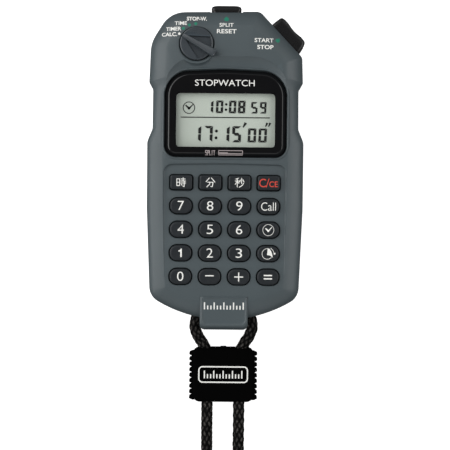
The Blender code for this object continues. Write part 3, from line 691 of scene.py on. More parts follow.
def make_pusher(name, place_frame, sizes, flange, post_end, node, dish=0):
    """A cap with rounded edges, the flange that stops it inside the wall and the post for its spring."""
    foot, _, out = place_frame
    body = ring_solid(name, placed_rings(place_frame, sizes))
    if dish:
        cut(body, turned("dish", [(dish, 0), (dish, 30)], 160, foot + out * (sizes[-1][5] - 0.75 + dish)))
    half, back = flange
    flange_sizes = [(-half, half, 6.6, 15, 1, back + rise) for rise in (0, 1)]
    join(body, ring_solid("flange", placed_rings(place_frame, flange_sizes)))
    post = turned("post", [(1.5, post_end), (1.5, back + 0.5)], 24, foot + UP * PUSHER_MID_Z, out)
    join(body, post)
    return place(shade(body, 42), BUTTON, node, (node,), "button_rubber")


def pusher_spring(name, place_frame, start, end):
    """The return spring round a pusher's post, wound from one distance towards its switch to another."""
    foot, along, out = place_frame
    middle = foot + UP * PUSHER_MID_Z
    turns, radius, wire, count = 3.5, 2.3, 0.28, 112
    route = []
    for i in range(count + 1):
        angle = 2 * math.pi * turns * i / count
        centre = middle + out * (start + (end - start) * i / count)
        route.append(centre + (along * math.cos(angle) + UP * math.sin(angle)) * radius)
    rings = []
    for i, point in enumerate(route):
        ahead = (route[min(i + 1, count)] - route[max(i - 1, 0)]).normalized()
        inward = (point - middle - out * (point - middle).dot(out)).normalized()
        inward = (inward - ahead * inward.dot(ahead)).normalized()
        other = ahead.cross(inward)
        rings.append([point + (inward * c + other * s) * wire for c, s in directions(10)])
    spring = place(shade(ring_solid(name, rings), 60), STEEL, "case", (name,))
    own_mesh(spring)


# Pushers' sections: span along the wall, span in height, corner radius, distance out of the wall.
CORNER_STEM = [(-9.5, 9.5, 7.4, 17.4, 1.6, -3.4), (-9.5, 9.4, 7.4, 17.4, 1.6, 0.3)]
CORNER_FACE = [
    (-9.5, 9.35, 7.4, 17.4, 1.6, 1.6), (-9.3, 8.75, 7.45, 17.35, 1.6, 3.9),
    (-9.15, 8.2, 7.6, 17.2, 1.6, 5.1), (-8.75, 7.6, 8, 16.8, 1.7, 5.95),
    (-7.9, 6.7, 8.9, 15.9, 1.8, 6.4), (-6.4, 5.2, 10.2, 14.6, 1.6, 6.5),
]
UPPER_STEM = [(-6.8, 6.8, 7.4, 17.4, 1.6, -2.8), (-6.8, 6.8, 7.4, 17.4, 1.6, 0.6)]
UPPER_FACE = [
    (-7.1, 7.1, 7.35, 17.45, 1.6, 1), (-7.28, 7.28, 7.35, 17.45, 1.6, 1.7),
    (-7.22, 7.22, 7.5, 17.3, 1.6, 2.4), (-6.85, 6.85, 7.9, 16.9, 1.6, 3.1), (-6, 6, 8.7, 16.1, 1.6, 3.58),
    (-4.4, 4.4, 9.8, 15, 1.6, 3.82), (-2.2, 2.2, 11, 13.8, 1, 3.9),
]


def make_pushers():
    corner, upper = chamfer_frame(), upper_frame()
    corner_sizes, upper_sizes = CORNER_STEM + smooth(CORNER_FACE), UPPER_STEM + smooth(UPPER_FACE)
    make_pusher("corner_pusher", corner, corner_sizes, (10.4, -3.75), -5.8, "start_stop_button", 15)
    make_pusher("upper_pusher", upper, upper_sizes, (8.2, -3.15), -5.2, "split_reset_button")
    pusher_spring("start_stop_spring", corner, -4.35, -6.9)
    pusher_spring("split_reset_spring", upper, -3.75, -6.3)


def pusher_openings():
    """What lets the pushers through the case wall, with a soft lip."""
    tools = []
    for name, place_frame, half in (("corner", chamfer_frame(), 9.85), ("upper", upper_frame(), 7.4)):
        sizes = []
        for grow, distance in ((0, -6), (0, -MOUTH_LIP), (MOUTH_LIP, 0.1), (MOUTH_LIP, 3)):
            sizes.append((-half - grow, half + grow, 7.05 - grow, 17.75 + grow, 1.9 + grow, distance))
        tools.append(ring_solid(name, placed_rings(place_frame, sizes)))
    notch = ((-7.6, NOTCH_FLOOR_Y), (7.7, NOTCH_FLOOR_Y), (9.6, 77), (-9.5, 77))
    return tools + [prism("notch", notch, -1, 30)]


# ---- front case


def spans(outline, step=2):
    """Into how many parts each side of an outline is divided."""
    return [max(1, math.ceil(math.dist(p, q) / step)) for p, q in zip(outline, outline[1:] + outline[:1])]


def divided(outline, counts):
    points = []
    for (x, y), (to_x, to_y), count in zip(outline, outline[1:] + outline[:1], counts):
        points += [(x + (to_x - x) * k / count, y + (to_y - y) * k / count) for k in range(count)]
    return points


HEAD_RISE = 2.15


def head_lift(y, inset):
    """How far the head stands above the face: it rises from the walls and eases down beside the display."""
    share = min(max((inset - 0.6) / 17, 0), 1)
    return HEAD_RISE * eased(y, 20, 47) * (1 - (1 - share) ** 2.4)


def front_body():
    counts = spans(rounded(CASE_OUTLINE))
    rings = []
    for inset, z in [(0.14, 11.3), (0, 11.45)] + smooth(FRONT_EDGE, 4):
        outline = divided(rounded(CASE_OUTLINE, inset), counts)
        rings.append([(x, y, z + head_lift(y, inset)) for x, y in outline])
    edge, depth = rings[-1], FRONT_EDGE[-1][0]
    for share in (0.97, 0.94, 0.91, 0.88, 0.84, 0.8, 0.74, 0.66, 0.56, 0.44, 0.3, 0.15):
        inset = depth + 30 * (1 - share)
        rings.append([(x * share, y * share, FACE_Z + head_lift(y * share, inset)) for x, y, _ in edge])
    case = ring_solid("front_shell", rings)
    cavity = sections("cavity", CASE_OUTLINE, FRONT_CAVITY)
    cut_at_screws(cavity, [(2.9, 10), (2.9, 20)], 28)
    cut(cavity, box("tab_block", -19, 19, -90, -60.5, 10, 20))
    cut(case, cavity)
    return case


def lens_rim():
    """The rounded lip that stands round the lens."""
    profile = [(0.4, 22), (-0.4, 22.5), (-0.48, 22.8), (-0.68, 22.96), (-0.92, 22.92), (-1.25, 22.65)]
    rings = [at_height(rounded(LENS_OUTLINE, inset), z) for inset, z in smooth(profile + [(-1.7, 22.2)])]
    return ring_solid("rim", rings, closed=True)


def lower_arch(case):
    """The band that sweeps from the raised head down to the lens, held off the dial by a collar."""
    sweep = [(4.8, 22.42), (3.4, 22.55), (2.1, 22.85), (1, 23.25), (0.1, 23.75), (-0.7, 24.28)]
    profile = smooth(sweep + [(-1.4, 24.85), (-2.4, 25.7)]) + [(-2.4, 27)]
    arch = sections("arch", ARCH_OUTLINE, profile)
    collar = smooth([(11.6, 21.6), (10.6, 22.6), (9.95, 23.6), (9.6, 24.5), (9.4, 25.6)])
    cut(arch, turned("collar", collar, 72, DIAL))
    cut(case, arch)


def recess_tool():
    """The keypad's recess, whose floor rises towards its lower end until it meets the face."""
    rings = []
    for inset, share in ((0.6, 0), (0.3, 0.1), (0.08, 0.35), (-0.05, 0.65), (-0.2, 0.86), (-0.5, 1)):
        ring = []
        for x, y in rounded(RECESS_OUTLINE, inset):
            floor = recess_floor(y)
            ring.append((x, y, floor + share * (FACE_Z + 0.06 - floor)))
        rings.append(ring)
    rings.append(at_height(rounded(RECESS_OUTLINE, -0.5), 30))
    return ring_solid("recess", rings)


def recess_floor(y):
    return min(21.35 + (1.6 - y) * 0.0195, FACE_Z + 0.03)


def key_holes():
    holes = []
    for row, y in enumerate(KEY_Y):
        width, height, radius = KEY_SIZES[min(row, 1)]
        floor = recess_floor(y)
        for x in KEY_X:
            corners = box_corners(x - width / 2, x + width / 2, y - height / 2, y + height / 2, radius)
            profile = [(-0.42, 15), (-0.42, floor - 0.3), (-0.48, floor - 0.14)]
            profile += [(-0.62, floor - 0.02), (-0.9, floor + 0.1), (-0.9, 30)]
            holes.append(sections("hole", corners, profile))
    return gather("key_holes", holes)


def open_front(case):
    lip = ((-0.35, 20.5), (-0.35, 30))
    cut(case, sections("lens_pocket", LENS_OUTLINE, lip))
    cut(case, box("window", -26.5, 26.5, 6.5, 38.5, 15, 25))
    cut(case, recess_tool())
    cut(case, key_holes())
    rim = [(8.25, 22.3), (8.25, 23.95), (8.31, 24.12), (8.45, 24.27), (8.7, 24.4), (9.15, 24.56), (9.15, 30)]
    cut(case, turned("dial_recess", rim, 96, DIAL))
    cut(case, turned("shaft_hole", [(2.8, 15), (2.8, 25)], 32, DIAL))
    for tool in pusher_openings():
        cut(case, tool)
    cut_at_screws(case, [(1.4, 10), (1.4, 16.6)], 20)
    cut(case, box("tab_notch", -11.5, 11.5, -90, -62.3, 12.2, 30))


def make_front():
    case = front_body()
    lower_arch(case)
    join(case, lens_rim())
    open_front(case)
    return place(shade(case, 36), CASE, "case", ("front_case",), "case_plastic")


# ---- rear case


# The block under the tab and the four walls of the battery bay: from x to x, from y to y.
REAR_WALLS = (
    (-19, 19, -90, -60.8),
    (-28.1, -26.9, -55.8, -25.3),
    (26.9, 28.1, -55.8, -25.3),
    (-27.5, 27.5, -55.8, -54.7),
    (-27.5, 27.5, -26.5, -25.3),
)


def rear_cavity():
    cavity = sections("cavity", CASE_OUTLINE, REAR_CAVITY)
    cut_at_screws(cavity, [(3.4, 1), (3.4, 13)], 28)
    for sides in REAR_WALLS:
        cut(cavity, box("wall", *sides, 1, 13))
    return cavity


def open_rear(case):
    cut(case, box("door_hole", -26.3, 26.3, -54.3, -26.8, -1, 3))
    cut(case, turned("hinge_holes", [(0.7, -27.2), (0.7, 27.2)], 16, HINGE, RIGHT))
    slots = []
    for i in range(-2, 3):
        reach = 11 - abs(i) * 1.3
        corners = box_corners(-reach, reach, SPEAKER_Y + i * 3.4 - 0.8, SPEAKER_Y + i * 3.4 + 0.8, 0.75)
        slots.append(sections("slot", corners, ((-0.45, -1), (-0.4, 0), (-0.15, 0.12), (0, 0.4), (0, 3))))
    cut(case, gather("slots", slots))
    label = box_corners(-21, 21, -3, 19, 1.5)
    cut(case, sections("label_recess", label, ((-0.25, -1), (-0.2, 0), (0, 0.12), (0.12, 0.25))))
    cut(case, prism("lug_pocket", box_outline(-17.2, 17.2, -90, -62.4, 2.5), 3.8, 15))
    cut(case, prism("post_socket", box_outline(-5.35, 5.35, -72.75, -68.85, 1.85), 2.6, 5))
    for tool in pusher_openings():
        cut(case, tool)
    profile = [(2.65, -1), (2.6, 0), (2.38, 0.14), (2.3, 0.4), (2.3, 2.6), (1.4, 2.6), (1.4, 13)]
    cut_at_screws(case, profile, 40)


def make_rear():
    case = sections("rear_shell", CASE_OUTLINE, REAR_EDGE + ((0, 10.85), (0.14, 11)))
    cut(case, rear_cavity())
    open_rear(case)
    return place(shade(case, 36), CASE, "case", ("rear_case",), "case_plastic")


def make_door():
    """The battery door: a half-round hinge edge, grip ribs, a finger notch and softened edges."""
    corners = box_corners(-26, 26, -54, HINGE.y, 0.6)
    profile = ((0.3, 0.2), (0.12, 0.26), (0.02, 0.4), (0, 0.6), (0, 1.6), (0.15, 1.8))
    door = sections("battery_hatch", corners, profile)
    join(door, turned("edge", [(0.8, -25.99), (0.8, 25.99)], 32, HINGE, RIGHT))
    join(door, turned("pins", [(0.4, -26.9), (0.4, 26.9)], 20, HINGE, RIGHT))
    notch = box_corners(-6, 6, -53.2, -50.2, 1.3)
    cut(door, sections("notch", notch, ((-0.3, -1), (-0.3, 0.2), (-0.08, 0.34), (0.1, 0.6), (0.5, 0.9))))
    ribs = []
    for y in (-47.5, -45.5, -43.5):
        rib = box_corners(-18, 18, y - 0.4, y + 0.4, 0.36)
        ribs.append(sections("rib", rib, ((-0.2, -1), (-0.2, 0.2), (0, 0.32), (0.16, 0.45))))
    cut(door, gather("ribs", ribs))
    return place(shade(door), CASE, "battery_door", ("battery_door",), "case_plastic")


def label_plate():
    """A plain satin plate in the recess on the back, with a thin raised border."""
    outline = box_corners(-20.6, 20.6, -2.6, 18.6, 1.2)
    field = box_corners(-19.8, 19.8, -1.8, 17.8, 0.8)
    plate = sections("back_plate", outline, ((0.12, 0.1), (0, 0.16), (0, 0.25)))
    cut(plate, sections("field", field, ((0, -1), (0, 0.13), (0.03, 0.16))))
    return place(shade(plate), metal("plate_satin", (0.30, 0.31, 0.32), 0.42, (0.15, 7, 7)), "case")


# ---- lens, display


def make_lens():
    bevel = [(0.02, 21.3), (0.2, 21.5), (0.9, 22.18), (1.5, 22.76), (1.72, 22.96), (1.95, 23.12)]
    profile = [(0.3, 20.9), (0.05, 21.05), (0, 21.2)] + smooth(bevel + [(2.25, 23.19), (2.7, 23.2)], 4)
    lens = sections("lens_cover", LENS_OUTLINE, profile)
    return place(shade(lens, 50), LENS, "case", ("display_lens",), "lens_clear")


SEGMENTS = {"0": "abcdef", "1": "bc", "5": "acdfg", "7": "abc", "8": "abcdefg", "9": "abcdfg"}


def segment_shapes(width, height, stroke, gap):
    """The seven bars of a digit whose lower left corner is the origin."""
    mid, half, cap, deep = height / 2, stroke / 2, stroke * 0.1, stroke * 0.8
    top = [(cap + gap, height), (width - cap - gap, height)]
    top += [(width - stroke - gap, height - deep), (stroke + gap, height - deep)]
    side = [(0, height - cap - gap), (stroke, height - deep - gap), (stroke, mid + stroke * 0.28)]
    side += [(half, mid + stroke * 0.08), (0, mid + stroke * 0.14)]
    left = [(stroke + gap, mid - half), (stroke * 0.55 + gap, mid), (stroke + gap, mid + half)]
    low = {"d": [(x, height - y) for x, y in top], "e": [(x, height - y) for x, y in side]}
    right = {"b": [(width - x, y) for x, y in side], "c": [(width - x, y) for x, y in low["e"]]}
    return {"a": top, "f": side, "g": left + [(width - x, y) for x, y in left[::-1]], **low, **right}


def digit(text, x, y, width, height, stroke, lean=0.035):
    shapes = segment_shapes(width, height, stroke, stroke * 0.03)
    return [[(x + a + b * lean, y + b) for a, b in shapes[s]] for s in SEGMENTS[text]]


def plates(name, shapes, z_low, z_high):
    return gather(name, [prism("plate", shape, z_low, z_high) for shape in shapes])


def hoop(name, x, y, radius, width, *heights):
    """A flat ring."""
    return band(name, circle(x, y, radius, 56), circle(x, y, radius - width, 56), *heights)


def stroke_shape(x1, y1, x2, y2, wide_start, wide_end):
    """A straight stroke that may taper."""
    dx, dy = unit(x2 - x1, y2 - y1)
    a, b = wide_start / 2, wide_end / 2
    left = [(x1 - dy * a, y1 + dx * a), (x2 - dy * b, y2 + dx * b)]
    return left + [(x2 + dy * b, y2 - dx * b), (x1 + dy * a, y1 - dx * a)]


# The readout: digits by text, left edges, foot, width, height and stroke, then dots, then strokes.
READOUT_DIGITS = (
    ("1008", (-9.5, -4.75, 1.5, 5.9), 26, 3.45, 6.1, 1.18),
    ("59", (12.15, 16.4), 26, 3.1, 5.5, 0.96),
    ("1715", (-16.2, -10.6, -2.5, 3.1), 12.05, 4.3, 7.75, 1.38),
    ("00", (10.7, 15.85), 12.05, 3.95, 6.75, 1.22),
)
READOUT_DOTS = ((0.15, 27.7, 0.6), (0.25, 30.25, 0.6), (-4.5, 14.1, 0.72), (-4.35, 17.35, 0.72))
READOUT_DOTS += ((-17.7, 28.2, 0.62),)
READOUT_STROKES = (
    (8.45, 19.2, 9.75, 21.45, 0.5, 1.35),
    (19.3, 19.7, 20.1, 21.5, 0.45, 1.1),
    (20.7, 19.7, 21.55, 21.5, 0.45, 1.1),
    (-17.7, 28.25, -19.35, 29.75, 0.95, 0.6),
    (-17.75, 28.05, -15.6, 30.2, 0.8, 0.35),
)
READOUT_Z = (20.42, 20.47)


def make_readout():
    """What the display shows: the time of day over a running count, as dark segments."""
    shapes = [bar(-21.6, 21.3, 23.7, 24.17)]
    for text, edges, y, *size in READOUT_DIGITS:
        for figure, x in zip(text, edges):
            shapes += digit(figure, x, y, *size)
    shapes += [circle(*dot) for dot in READOUT_DOTS] + [stroke_shape(*s) for s in READOUT_STROKES]
    clock = hoop("dial", -17.7, 28.5, 2.95, 0.38, *READOUT_Z)
    readout = gather("readout", [plates("segments", shapes, *READOUT_Z), clock])
    return place(readout, SEGMENT, "case", (), "lcd_glass")


# ---- keys


def key_cap(size):
    """One cap at the origin: a flange under the face, soft upper edges and a shallow dish."""
    width, height, radius = size
    corners = box_corners(-width / 2, width / 2, -height / 2, height / 2, radius)
    profile = [(-0.9, 18), (-0.9, 18.9), (0, 18.9), (0, 22.55)]
    profile += smooth([(0, 22.7), (0.05, 23), (0.2, 23.3), (0.48, 23.5), (0.85, 23.58), (1.25, 23.57)])
    rings = [at_height(rounded(corners, inset), z) for inset, z in profile]
    last = rings[-1]
    for share in (0.9, 0.76, 0.6, 0.44, 0.28, 0.13):
        rings.append([(x * share, y * share, z - 0.14 * (1 - share * share)) for x, y, z in last])
    return ring_solid("cap", rings)


def ground_under(obj):
    """The surface that print is laid on."""
    graph = bpy.context.evaluated_depsgraph_get()
    return BVHTree.FromObject(obj, graph)


def sliced(piece, step=0.5):
    """The piece with more edges across it, so that it can follow a curved ground."""
    bm = bmesh.new()
    bm.from_mesh(piece.data)
    for axis, normal in enumerate(((1, 0, 0), (0, 1, 0))):
        places = [vertex.co[axis] for vertex in bm.verts]
        at = min(places) + step * MM
        while at < max(places):
            everything = bm.verts[:] + bm.edges[:] + bm.faces[:]
            centre = [c * at for c in normal]
            bmesh.ops.bisect_plane(bm, geom=everything, dist=1e-7, plane_co=centre, plane_no=normal)
            at += step * MM
    bm.to_mesh(piece.data)
    bm.free()
    return piece


def lay_on(piece, ground, lift=0.012):
    """Lowers a piece whose underside is at height 0 on to the surface below each of its points."""
    for vertex in piece.data.vertices:
        hit = ground.ray_cast(Vector((vertex.co.x, vertex.co.y, 0.05)), -UP)[0]
        vertex.co.z += (hit.z if hit else 0) + lift * MM
    piece.data.update()
    return piece


def wording(text, x, y, width, height, bold=0.011):
    """Plain sans lettering, centred on a point, as a thin closed plate of the given size."""
    curve = bpy.data.curves.new("wording", "FONT")
    curve.body = text
    curve.offset = bold
    curve.resolution_u = 5
    curve.extrude = 0.01
    obj = linked("wording", curve)
    mesh = baked(obj)
    bpy.data.objects.remove(obj)
    places = np.array([tuple(v.co) for v in mesh.vertices])
    low, high = places.min(0), places.max(0)
    scale = np.array([width, height, PRINT_THICKNESS]) / (high - low)
    for vertex, point in zip(mesh.vertices, places):
        co = (point - (low + high) / 2) * scale + (x, y, PRINT_THICKNESS / 2)
        vertex.co = [c * MM for c in co]
    return new_object("wording", mesh)


def flat(shapes, name="flat"):
    return plates(name, shapes, 0, PRINT_THICKNESS)


def clock_icon():
    hands = ((0, -0.45, -1.35, 0.85, 0.85, 0.55), (-0.05, -0.55, 1.75, 1.45, 0.65, 0.3))
    shapes = [stroke_shape(*hand) for hand in hands] + [circle(-0.02, -0.5, 0.46)]
    return gather("clock", [flat(shapes), hoop("hoop", 0, 0, 2.75, 0.2)])


def alarm_icon():
    """A clock face, and over its right side a bell that sounds."""
    bell = [(-0.55, -0.65), (-0.35, 0.6), (-0.2, 2.65), (0.75, 2.25), (1.55, 1.1), (2, -0.35)]
    bell += [(2.25, -1.85), (0.85, -0.85)]
    ring, wave = arc_strip(-0.35, -0.1, 2.65, 0.22, 62, 322), arc_strip(-0.45, -0.2, 3.4, 0.26, 12, 62)
    return inked([ring, bell, wave, circle(3.1, 0, 0.45, 16)])


def arc_strip(x, y, radius, width, start, end):
    """A band bent round a centre."""
    outer, inner = [], []
    for i in range(29):
        angle = math.radians(start + (end - start) * i / 28)
        for side, reach in ((outer, radius), (inner, radius - width)):
            side.append((x + reach * math.cos(angle), y + reach * math.sin(angle)))
    return outer + inner[::-1]


def inked(shapes):
    """Shapes that cross, printed as one film."""
    piece = flat(shapes[:1])
    for shape in shapes[1:]:
        join(piece, flat([shape]))
    return piece


# The characters for hour, minute and second as straight strokes in a unit square.
UNIT_STROKES = {
    "key_hours": (
        (0.04, 0.1, 0.04, 0.88), (0.34, 0.1, 0.34, 0.88), (0.04, 0.85, 0.34, 0.85), (0.04, 0.49, 0.34, 0.49),
        (0.04, 0.13, 0.34, 0.13), (0.46, 0.84, 0.96, 0.84), (0.71, 1, 0.71, 0.62), (0.42, 0.62, 1, 0.62),
        (0.42, 0.41, 1, 0.41), (0.83, 0.6, 0.83, 0.02), (0.85, 0.03, 0.68, 0.07), (0.5, 0.3, 0.63, 0.15),
    ),
    "key_minutes": (
        (0.4, 1, 0.03, 0.55), (0.58, 1, 1, 0.52), (0.18, 0.52, 0.8, 0.52), (0.79, 0.55, 0.71, 0.03),
        (0.73, 0.05, 0.52, 0.08), (0.46, 0.52, 0.4, 0.26), (0.41, 0.29, 0.1, 0),
    ),
    "key_seconds": (
        (0.42, 0.98, 0.08, 0.87), (0, 0.67, 0.48, 0.67), (0.26, 0.93, 0.26, 0), (0.26, 0.64, 0.02, 0.3),
        (0.27, 0.6, 0.46, 0.42), (0.72, 1, 0.72, 0.38), (0.59, 0.82, 0.5, 0.54), (0.84, 0.84, 0.99, 0.56),
        (0.95, 0.47, 0.76, 0.18), (0.78, 0.2, 0.45, 0),
    ),
}


def drawn_strokes(strokes, x, y, width, height, ink, reach=0):
    """Straight strokes of a unit square as one film, with its lower left corner at x, y."""
    shapes = []
    for x1, y1, x2, y2 in strokes:
        x1, y1, x2, y2 = x + x1 * width, y + y1 * height, x + x2 * width, y + y2 * height
        dx, dy = unit(x2 - x1, y2 - y1)
        ends = x1 - dx * reach, y1 - dy * reach, x2 + dx * reach, y2 + dy * reach
        shapes.append(stroke_shape(*ends, ink, ink))
    return inked(shapes)


def clear_legend():
    pieces = [wording("C", -2.95, -0.05, 3.3, 4.1, 0.004), wording("CE", 2.3, -0.6, 4.1, 2.75, 0.008)]
    return gather("clear", pieces + [flat([stroke_shape(-1.2, -2.1, 0.15, 2.1, 0.38, 0.38)])])


# A figure one with a flag, which the plain face lacks.
FIGURE_ONE = [(-0.1, -2.02), (0.66, -2.02), (0.66, 2.03), (0.1, 2.03), (-0.08, 1.6), (-0.45, 1.3)]
FIGURE_ONE += [(-1, 1.16), (-1, 0.6), (-0.1, 0.66)]


def key_legend(name):
    drawn = {"key_clear": clear_legend, "key_clock": clock_icon, "key_alarm": alarm_icon}
    shapes = {
        "key_1": [FIGURE_ONE],
        "key_minus": [bar(-2.05, 2.05, 0.2, 0.72)],
        "key_plus": [plus_shape(2.15, 0.27)],
        "key_equals": [bar(-2, 2, y - 0.32, y + 0.32) for y in (-0.75, 0.85)],
    }
    if name in UNIT_STROKES:
        return drawn_strokes(UNIT_STROKES[name], -2.25, -2.25, 4.5, 4.5, 0.38)
    if name in drawn:
        return drawn[name]()
    if name in shapes:
        return flat(shapes[name])
    if name == "key_recall":
        return wording("Call", 0, 0, 7.1, 4, -0.007)
    return wording(name[-1], 0, 0.1, 3.05, 4.45, -0.006)


def plus_shape(reach, half):
    arm = [(half, half), (half, reach), (-half, reach)]
    corners = []
    for _ in range(4):
        corners += arm
        arm = [(-y, x) for x, y in arm]
    return corners


def make_keys():
    caps = [key_cap(size) for size in KEY_SIZES]
    grounds = [ground_under(cap) for cap in caps]
    for row, names in enumerate(KEY_NAMES):
        kind = min(row, 1)
        for column, name in enumerate(names):
            spot = Vector((KEY_X[column], KEY_Y[row], 0)) * MM
            legend = lay_on(key_legend(name), grounds[kind])
            legend.name = name + "_legend"
            cap = linked(name + "_cap", caps[kind].data.copy())
            for obj in (cap, legend):
                obj.data.transform(Matrix.Translation(spot))
            place(shade(cap, 45), KEY, name, (name,), "key_plastic")
            place(legend, RED if name == "key_clear" else WHITE, name)
    for cap in caps:
        bpy.data.objects.remove(cap)


# ---- dial


def along_pointer(reach, across, z):
    """A point given by its distance towards the pointer's tail and across it."""
    tail = POINTER_ANGLE + math.pi
    x = DIAL.x + reach * math.cos(tail) - across * math.sin(tail)
    y = DIAL.y + reach * math.sin(tail) + across * math.cos(tail)
    return (x, y, z)


def scoop():
    """The sunken V on both sides of the lever, with a soft upper lip."""
    rings = []
    for z, grow in ((24.6, -0.12), (24.7, 0), (25.4, 0.04), (25.52, 0.1), (25.62, 0.25), (26.5, 0.25)):
        radius = 7.2 + grow
        edge = [(-7.2 - grow * 2, 0)]
        for i in range(29):
            angle = math.radians(-56 - grow + (112 + 2 * grow) * i / 28)
            edge.append((radius * math.cos(angle), radius * math.sin(angle)))
        rings.append([along_pointer(a, b, z) for a, b in edge])
    return ring_solid("scoop", rings)


# Along the lever: distance from the dial's middle, half width, share of its height.
LEVER_STATIONS = (
    (-7.85, 0.5, 0.35), (-7.7, 0.85, 0.75), (-7.3, 1.02, 1), (-4, 1.18, 1), (0, 1.38, 1), (4, 1.6, 1),
    (7.5, 1.8, 1), (9.3, 1.9, 1), (9.95, 1.82, 0.97), (10.35, 1.55, 0.88), (10.58, 1.1, 0.7),
    (10.65, 0.6, 0.5),
)
# Across its right half: share of the half width, drop from the top.
LEVER_SECTION = [(0, 0.2), (0.4, 0.13), (0.66, 0.02), (0.74, 0), (0.82, 0.05), (0.97, 0.4), (1, 0.6)]


def lever():
    """The bar across the dial: narrow at the mark, wider and higher at its tail, with a shallow channel."""
    rings = []
    section = [(-share, drop) for share, drop in LEVER_SECTION[:0:-1]] + LEVER_SECTION
    for reach, half, tall in LEVER_STATIONS:
        top = 26.45 + 0.108 * (reach + 7.7)
        floor = 24.75 + 0.32 * eased(reach, 7.6, 8.4)
        top = floor + (top - floor) * tall
        ring = [(reach, -half, floor)] + [(reach, half * share, top - drop * tall) for share, drop in section]
        rings.append([along_pointer(*p) for p in ring + [(reach, half, floor)]])
    return ring_solid("lever", rings)


def lever_root():
    outline = ((-7.3, -0.7), (-7.3, 0.7), (7.6, 1.35), (7.6, -1.35))
    return ring_solid("root", [[along_pointer(a, b, z) for a, b in outline] for z in (23.4, 25.3)])


def make_dial():
    profile = [(2.5, 15.3), (2.5, 22.65), (7.8, 22.65), (7.95, 22.8), (7.95, 25)]
    profile += smooth([(7.95, 25.12), (7.89, 25.34), (7.73, 25.5), (7.5, 25.58), (7.25, 25.6)], 2)
    dial = turned("dial_knob", profile, 96, DIAL)
    cut(dial, scoop())
    join(dial, lever_root())
    join(dial, lever())
    return place(shade(dial, 40), DIAL_PLASTIC, "mode_dial", ("mode_dial",), "dial_plastic")


# ---- print on the case


def pointer_shape(x, y, degrees, length, width):
    """A small wedge whose tip points the given way."""
    c, s = math.cos(math.radians(degrees)), math.sin(math.radians(degrees))
    wedge = ((0.5, 0), (-0.05, 0.5), (-0.5, 0.32), (-0.5, -0.32), (-0.05, -0.5))
    return [(x + c * a * length - s * b * width, y + s * a * length + c * b * width) for a, b in wedge]


def dial_spot(degrees, reach):
    turn = math.radians(degrees)
    return DIAL.x + reach * math.cos(turn), DIAL.y + reach * math.sin(turn)


def print_case(ground):
    labels = (
        ("STOP-W.", -14.2, 71.1, 9.7, 2.1, 0.036),
        ("TIME", -21.85, 68.75, 5.9, 1.9, 0.018),
        ("TIMER", -25.3, 65.95, 7.4, 1.85, 0.018),
        ("CALC.", -27.3, 63.3, 7.4, 1.9, 0.02),
        ("SPLIT", 0.05, 68, 6.8, 1.9, 0.012),
        ("RESET", 0.15, 64.9, 9.4, 2.05, 0.016),
        ("START", 18.1, 60.8, 9.1, 2, 0.018),
        ("STOP", 18.75, 57.5, 7.8, 2.05, 0.022),
    )
    pieces = [wording(*label) for label in labels]
    pieces.append(flat([circle(*dial_spot(151, 9.5), 0.62)]))
    place(lay_on(sliced(gather("white_legends", pieces)), ground, 0.03), WHITE, "case")
    marks = [pointer_shape(*dial_spot(a, 9.45), a + 180, 1.7, 1.7) for a in (93, 112, 131.5)]
    marks.append(pointer_shape(0, 71.2, 90, 2.4, 2.5))
    marks.append(pointer_shape(24.9, 61.2, 50, 2.5, 2.2))
    place(lay_on(sliced(flat(marks, "green_marks")), ground), GREEN, "case")


def print_lens(ground):
    place(lay_on(wording("STOPWATCH", -0.5, 40.3, 28.6, 3, 0), ground), WHITE, "case").name = "lens_title"
    pieces = [small_split(-9.45, 5.75, 0.66, 2, 0.34), flat([bar(-3, 1.2, 6.05, 7), bar(1.2, 8, 6.05, 6.65)])]
    pieces.append(frame_strip(-3.4, 8.45, 5.55, 8, 0.4, 0.34))
    place(lay_on(sliced(gather("lens_print", pieces)), ground), DIM, "case")


# The letters of a narrow word as straight strokes in a unit square.
NARROW_LETTERS = (
    ((1, 1, 0, 1), (0, 1, 0, 0.5), (0, 0.5, 1, 0.5), (1, 0.5, 1, 0), (1, 0, 0, 0)),
    ((0, 0, 0, 1), (0, 1, 1, 1), (1, 1, 1, 0.5), (1, 0.5, 0, 0.5)),
    ((0, 0, 0, 1), (0, 0, 1, 0)),
    ((0.4, 0, 0.4, 1),),
    ((0, 1, 1, 1), (0.5, 1, 0.5, 0)),
)


def small_split(x, y, width, height, ink):
    """The narrow word by the lens's marker, drawn with square-ended strokes."""
    step = width + ink * 0.85
    box_size = (y, width, height, ink, ink / 2)
    return gather("split", [drawn_strokes(s, x + i * step, *box_size) for i, s in enumerate(NARROW_LETTERS)])


def frame_strip(x_low, x_high, y_low, y_high, radius, width):
    """A thin rectangular frame."""
    sides = x_low, x_high, y_low, y_high, radius
    return band("frame", box_outline(*sides), box_outline(*sides, width))


def scale_marks(x, y, width, height, count=13):
    """A generic graduated scale: every third tick is tall."""
    shapes = []
    low = y - height / 2
    for i in range(count):
        at = x - width / 2 + width * i / (count - 1)
        shapes.append(bar(at - 0.3, at + 0.3, low, low + height * (0.55 if i % 3 else 1)))
    return flat(shapes)


# ---- the tab


# Up the tab: insets of its sides, its lower end and its upper end, height.
TAB_WALLS = [(0.5, 0.9, 0.3, 12.5), (0.1, 0.15, 0.05, 13.1), (0, 0, 0, 13.5), (0, 0.1, 0, 18)]
TAB_FACE = [
    (0, 0.35, 0, 19.6), (0.02, 0.8, 0, 20.9), (0.06, 1.3, 0.02, 21.9), (0.16, 1.75, 0.1, 22.45),
    (0.4, 2, 0.3, 22.74), (0.75, 2.45, 0.6, 23), (1, 2.85, 0.8, 23.14), (1.2, 3.1, 1, 23),
    (1.6, 3.6, 1.4, 22.9),
]


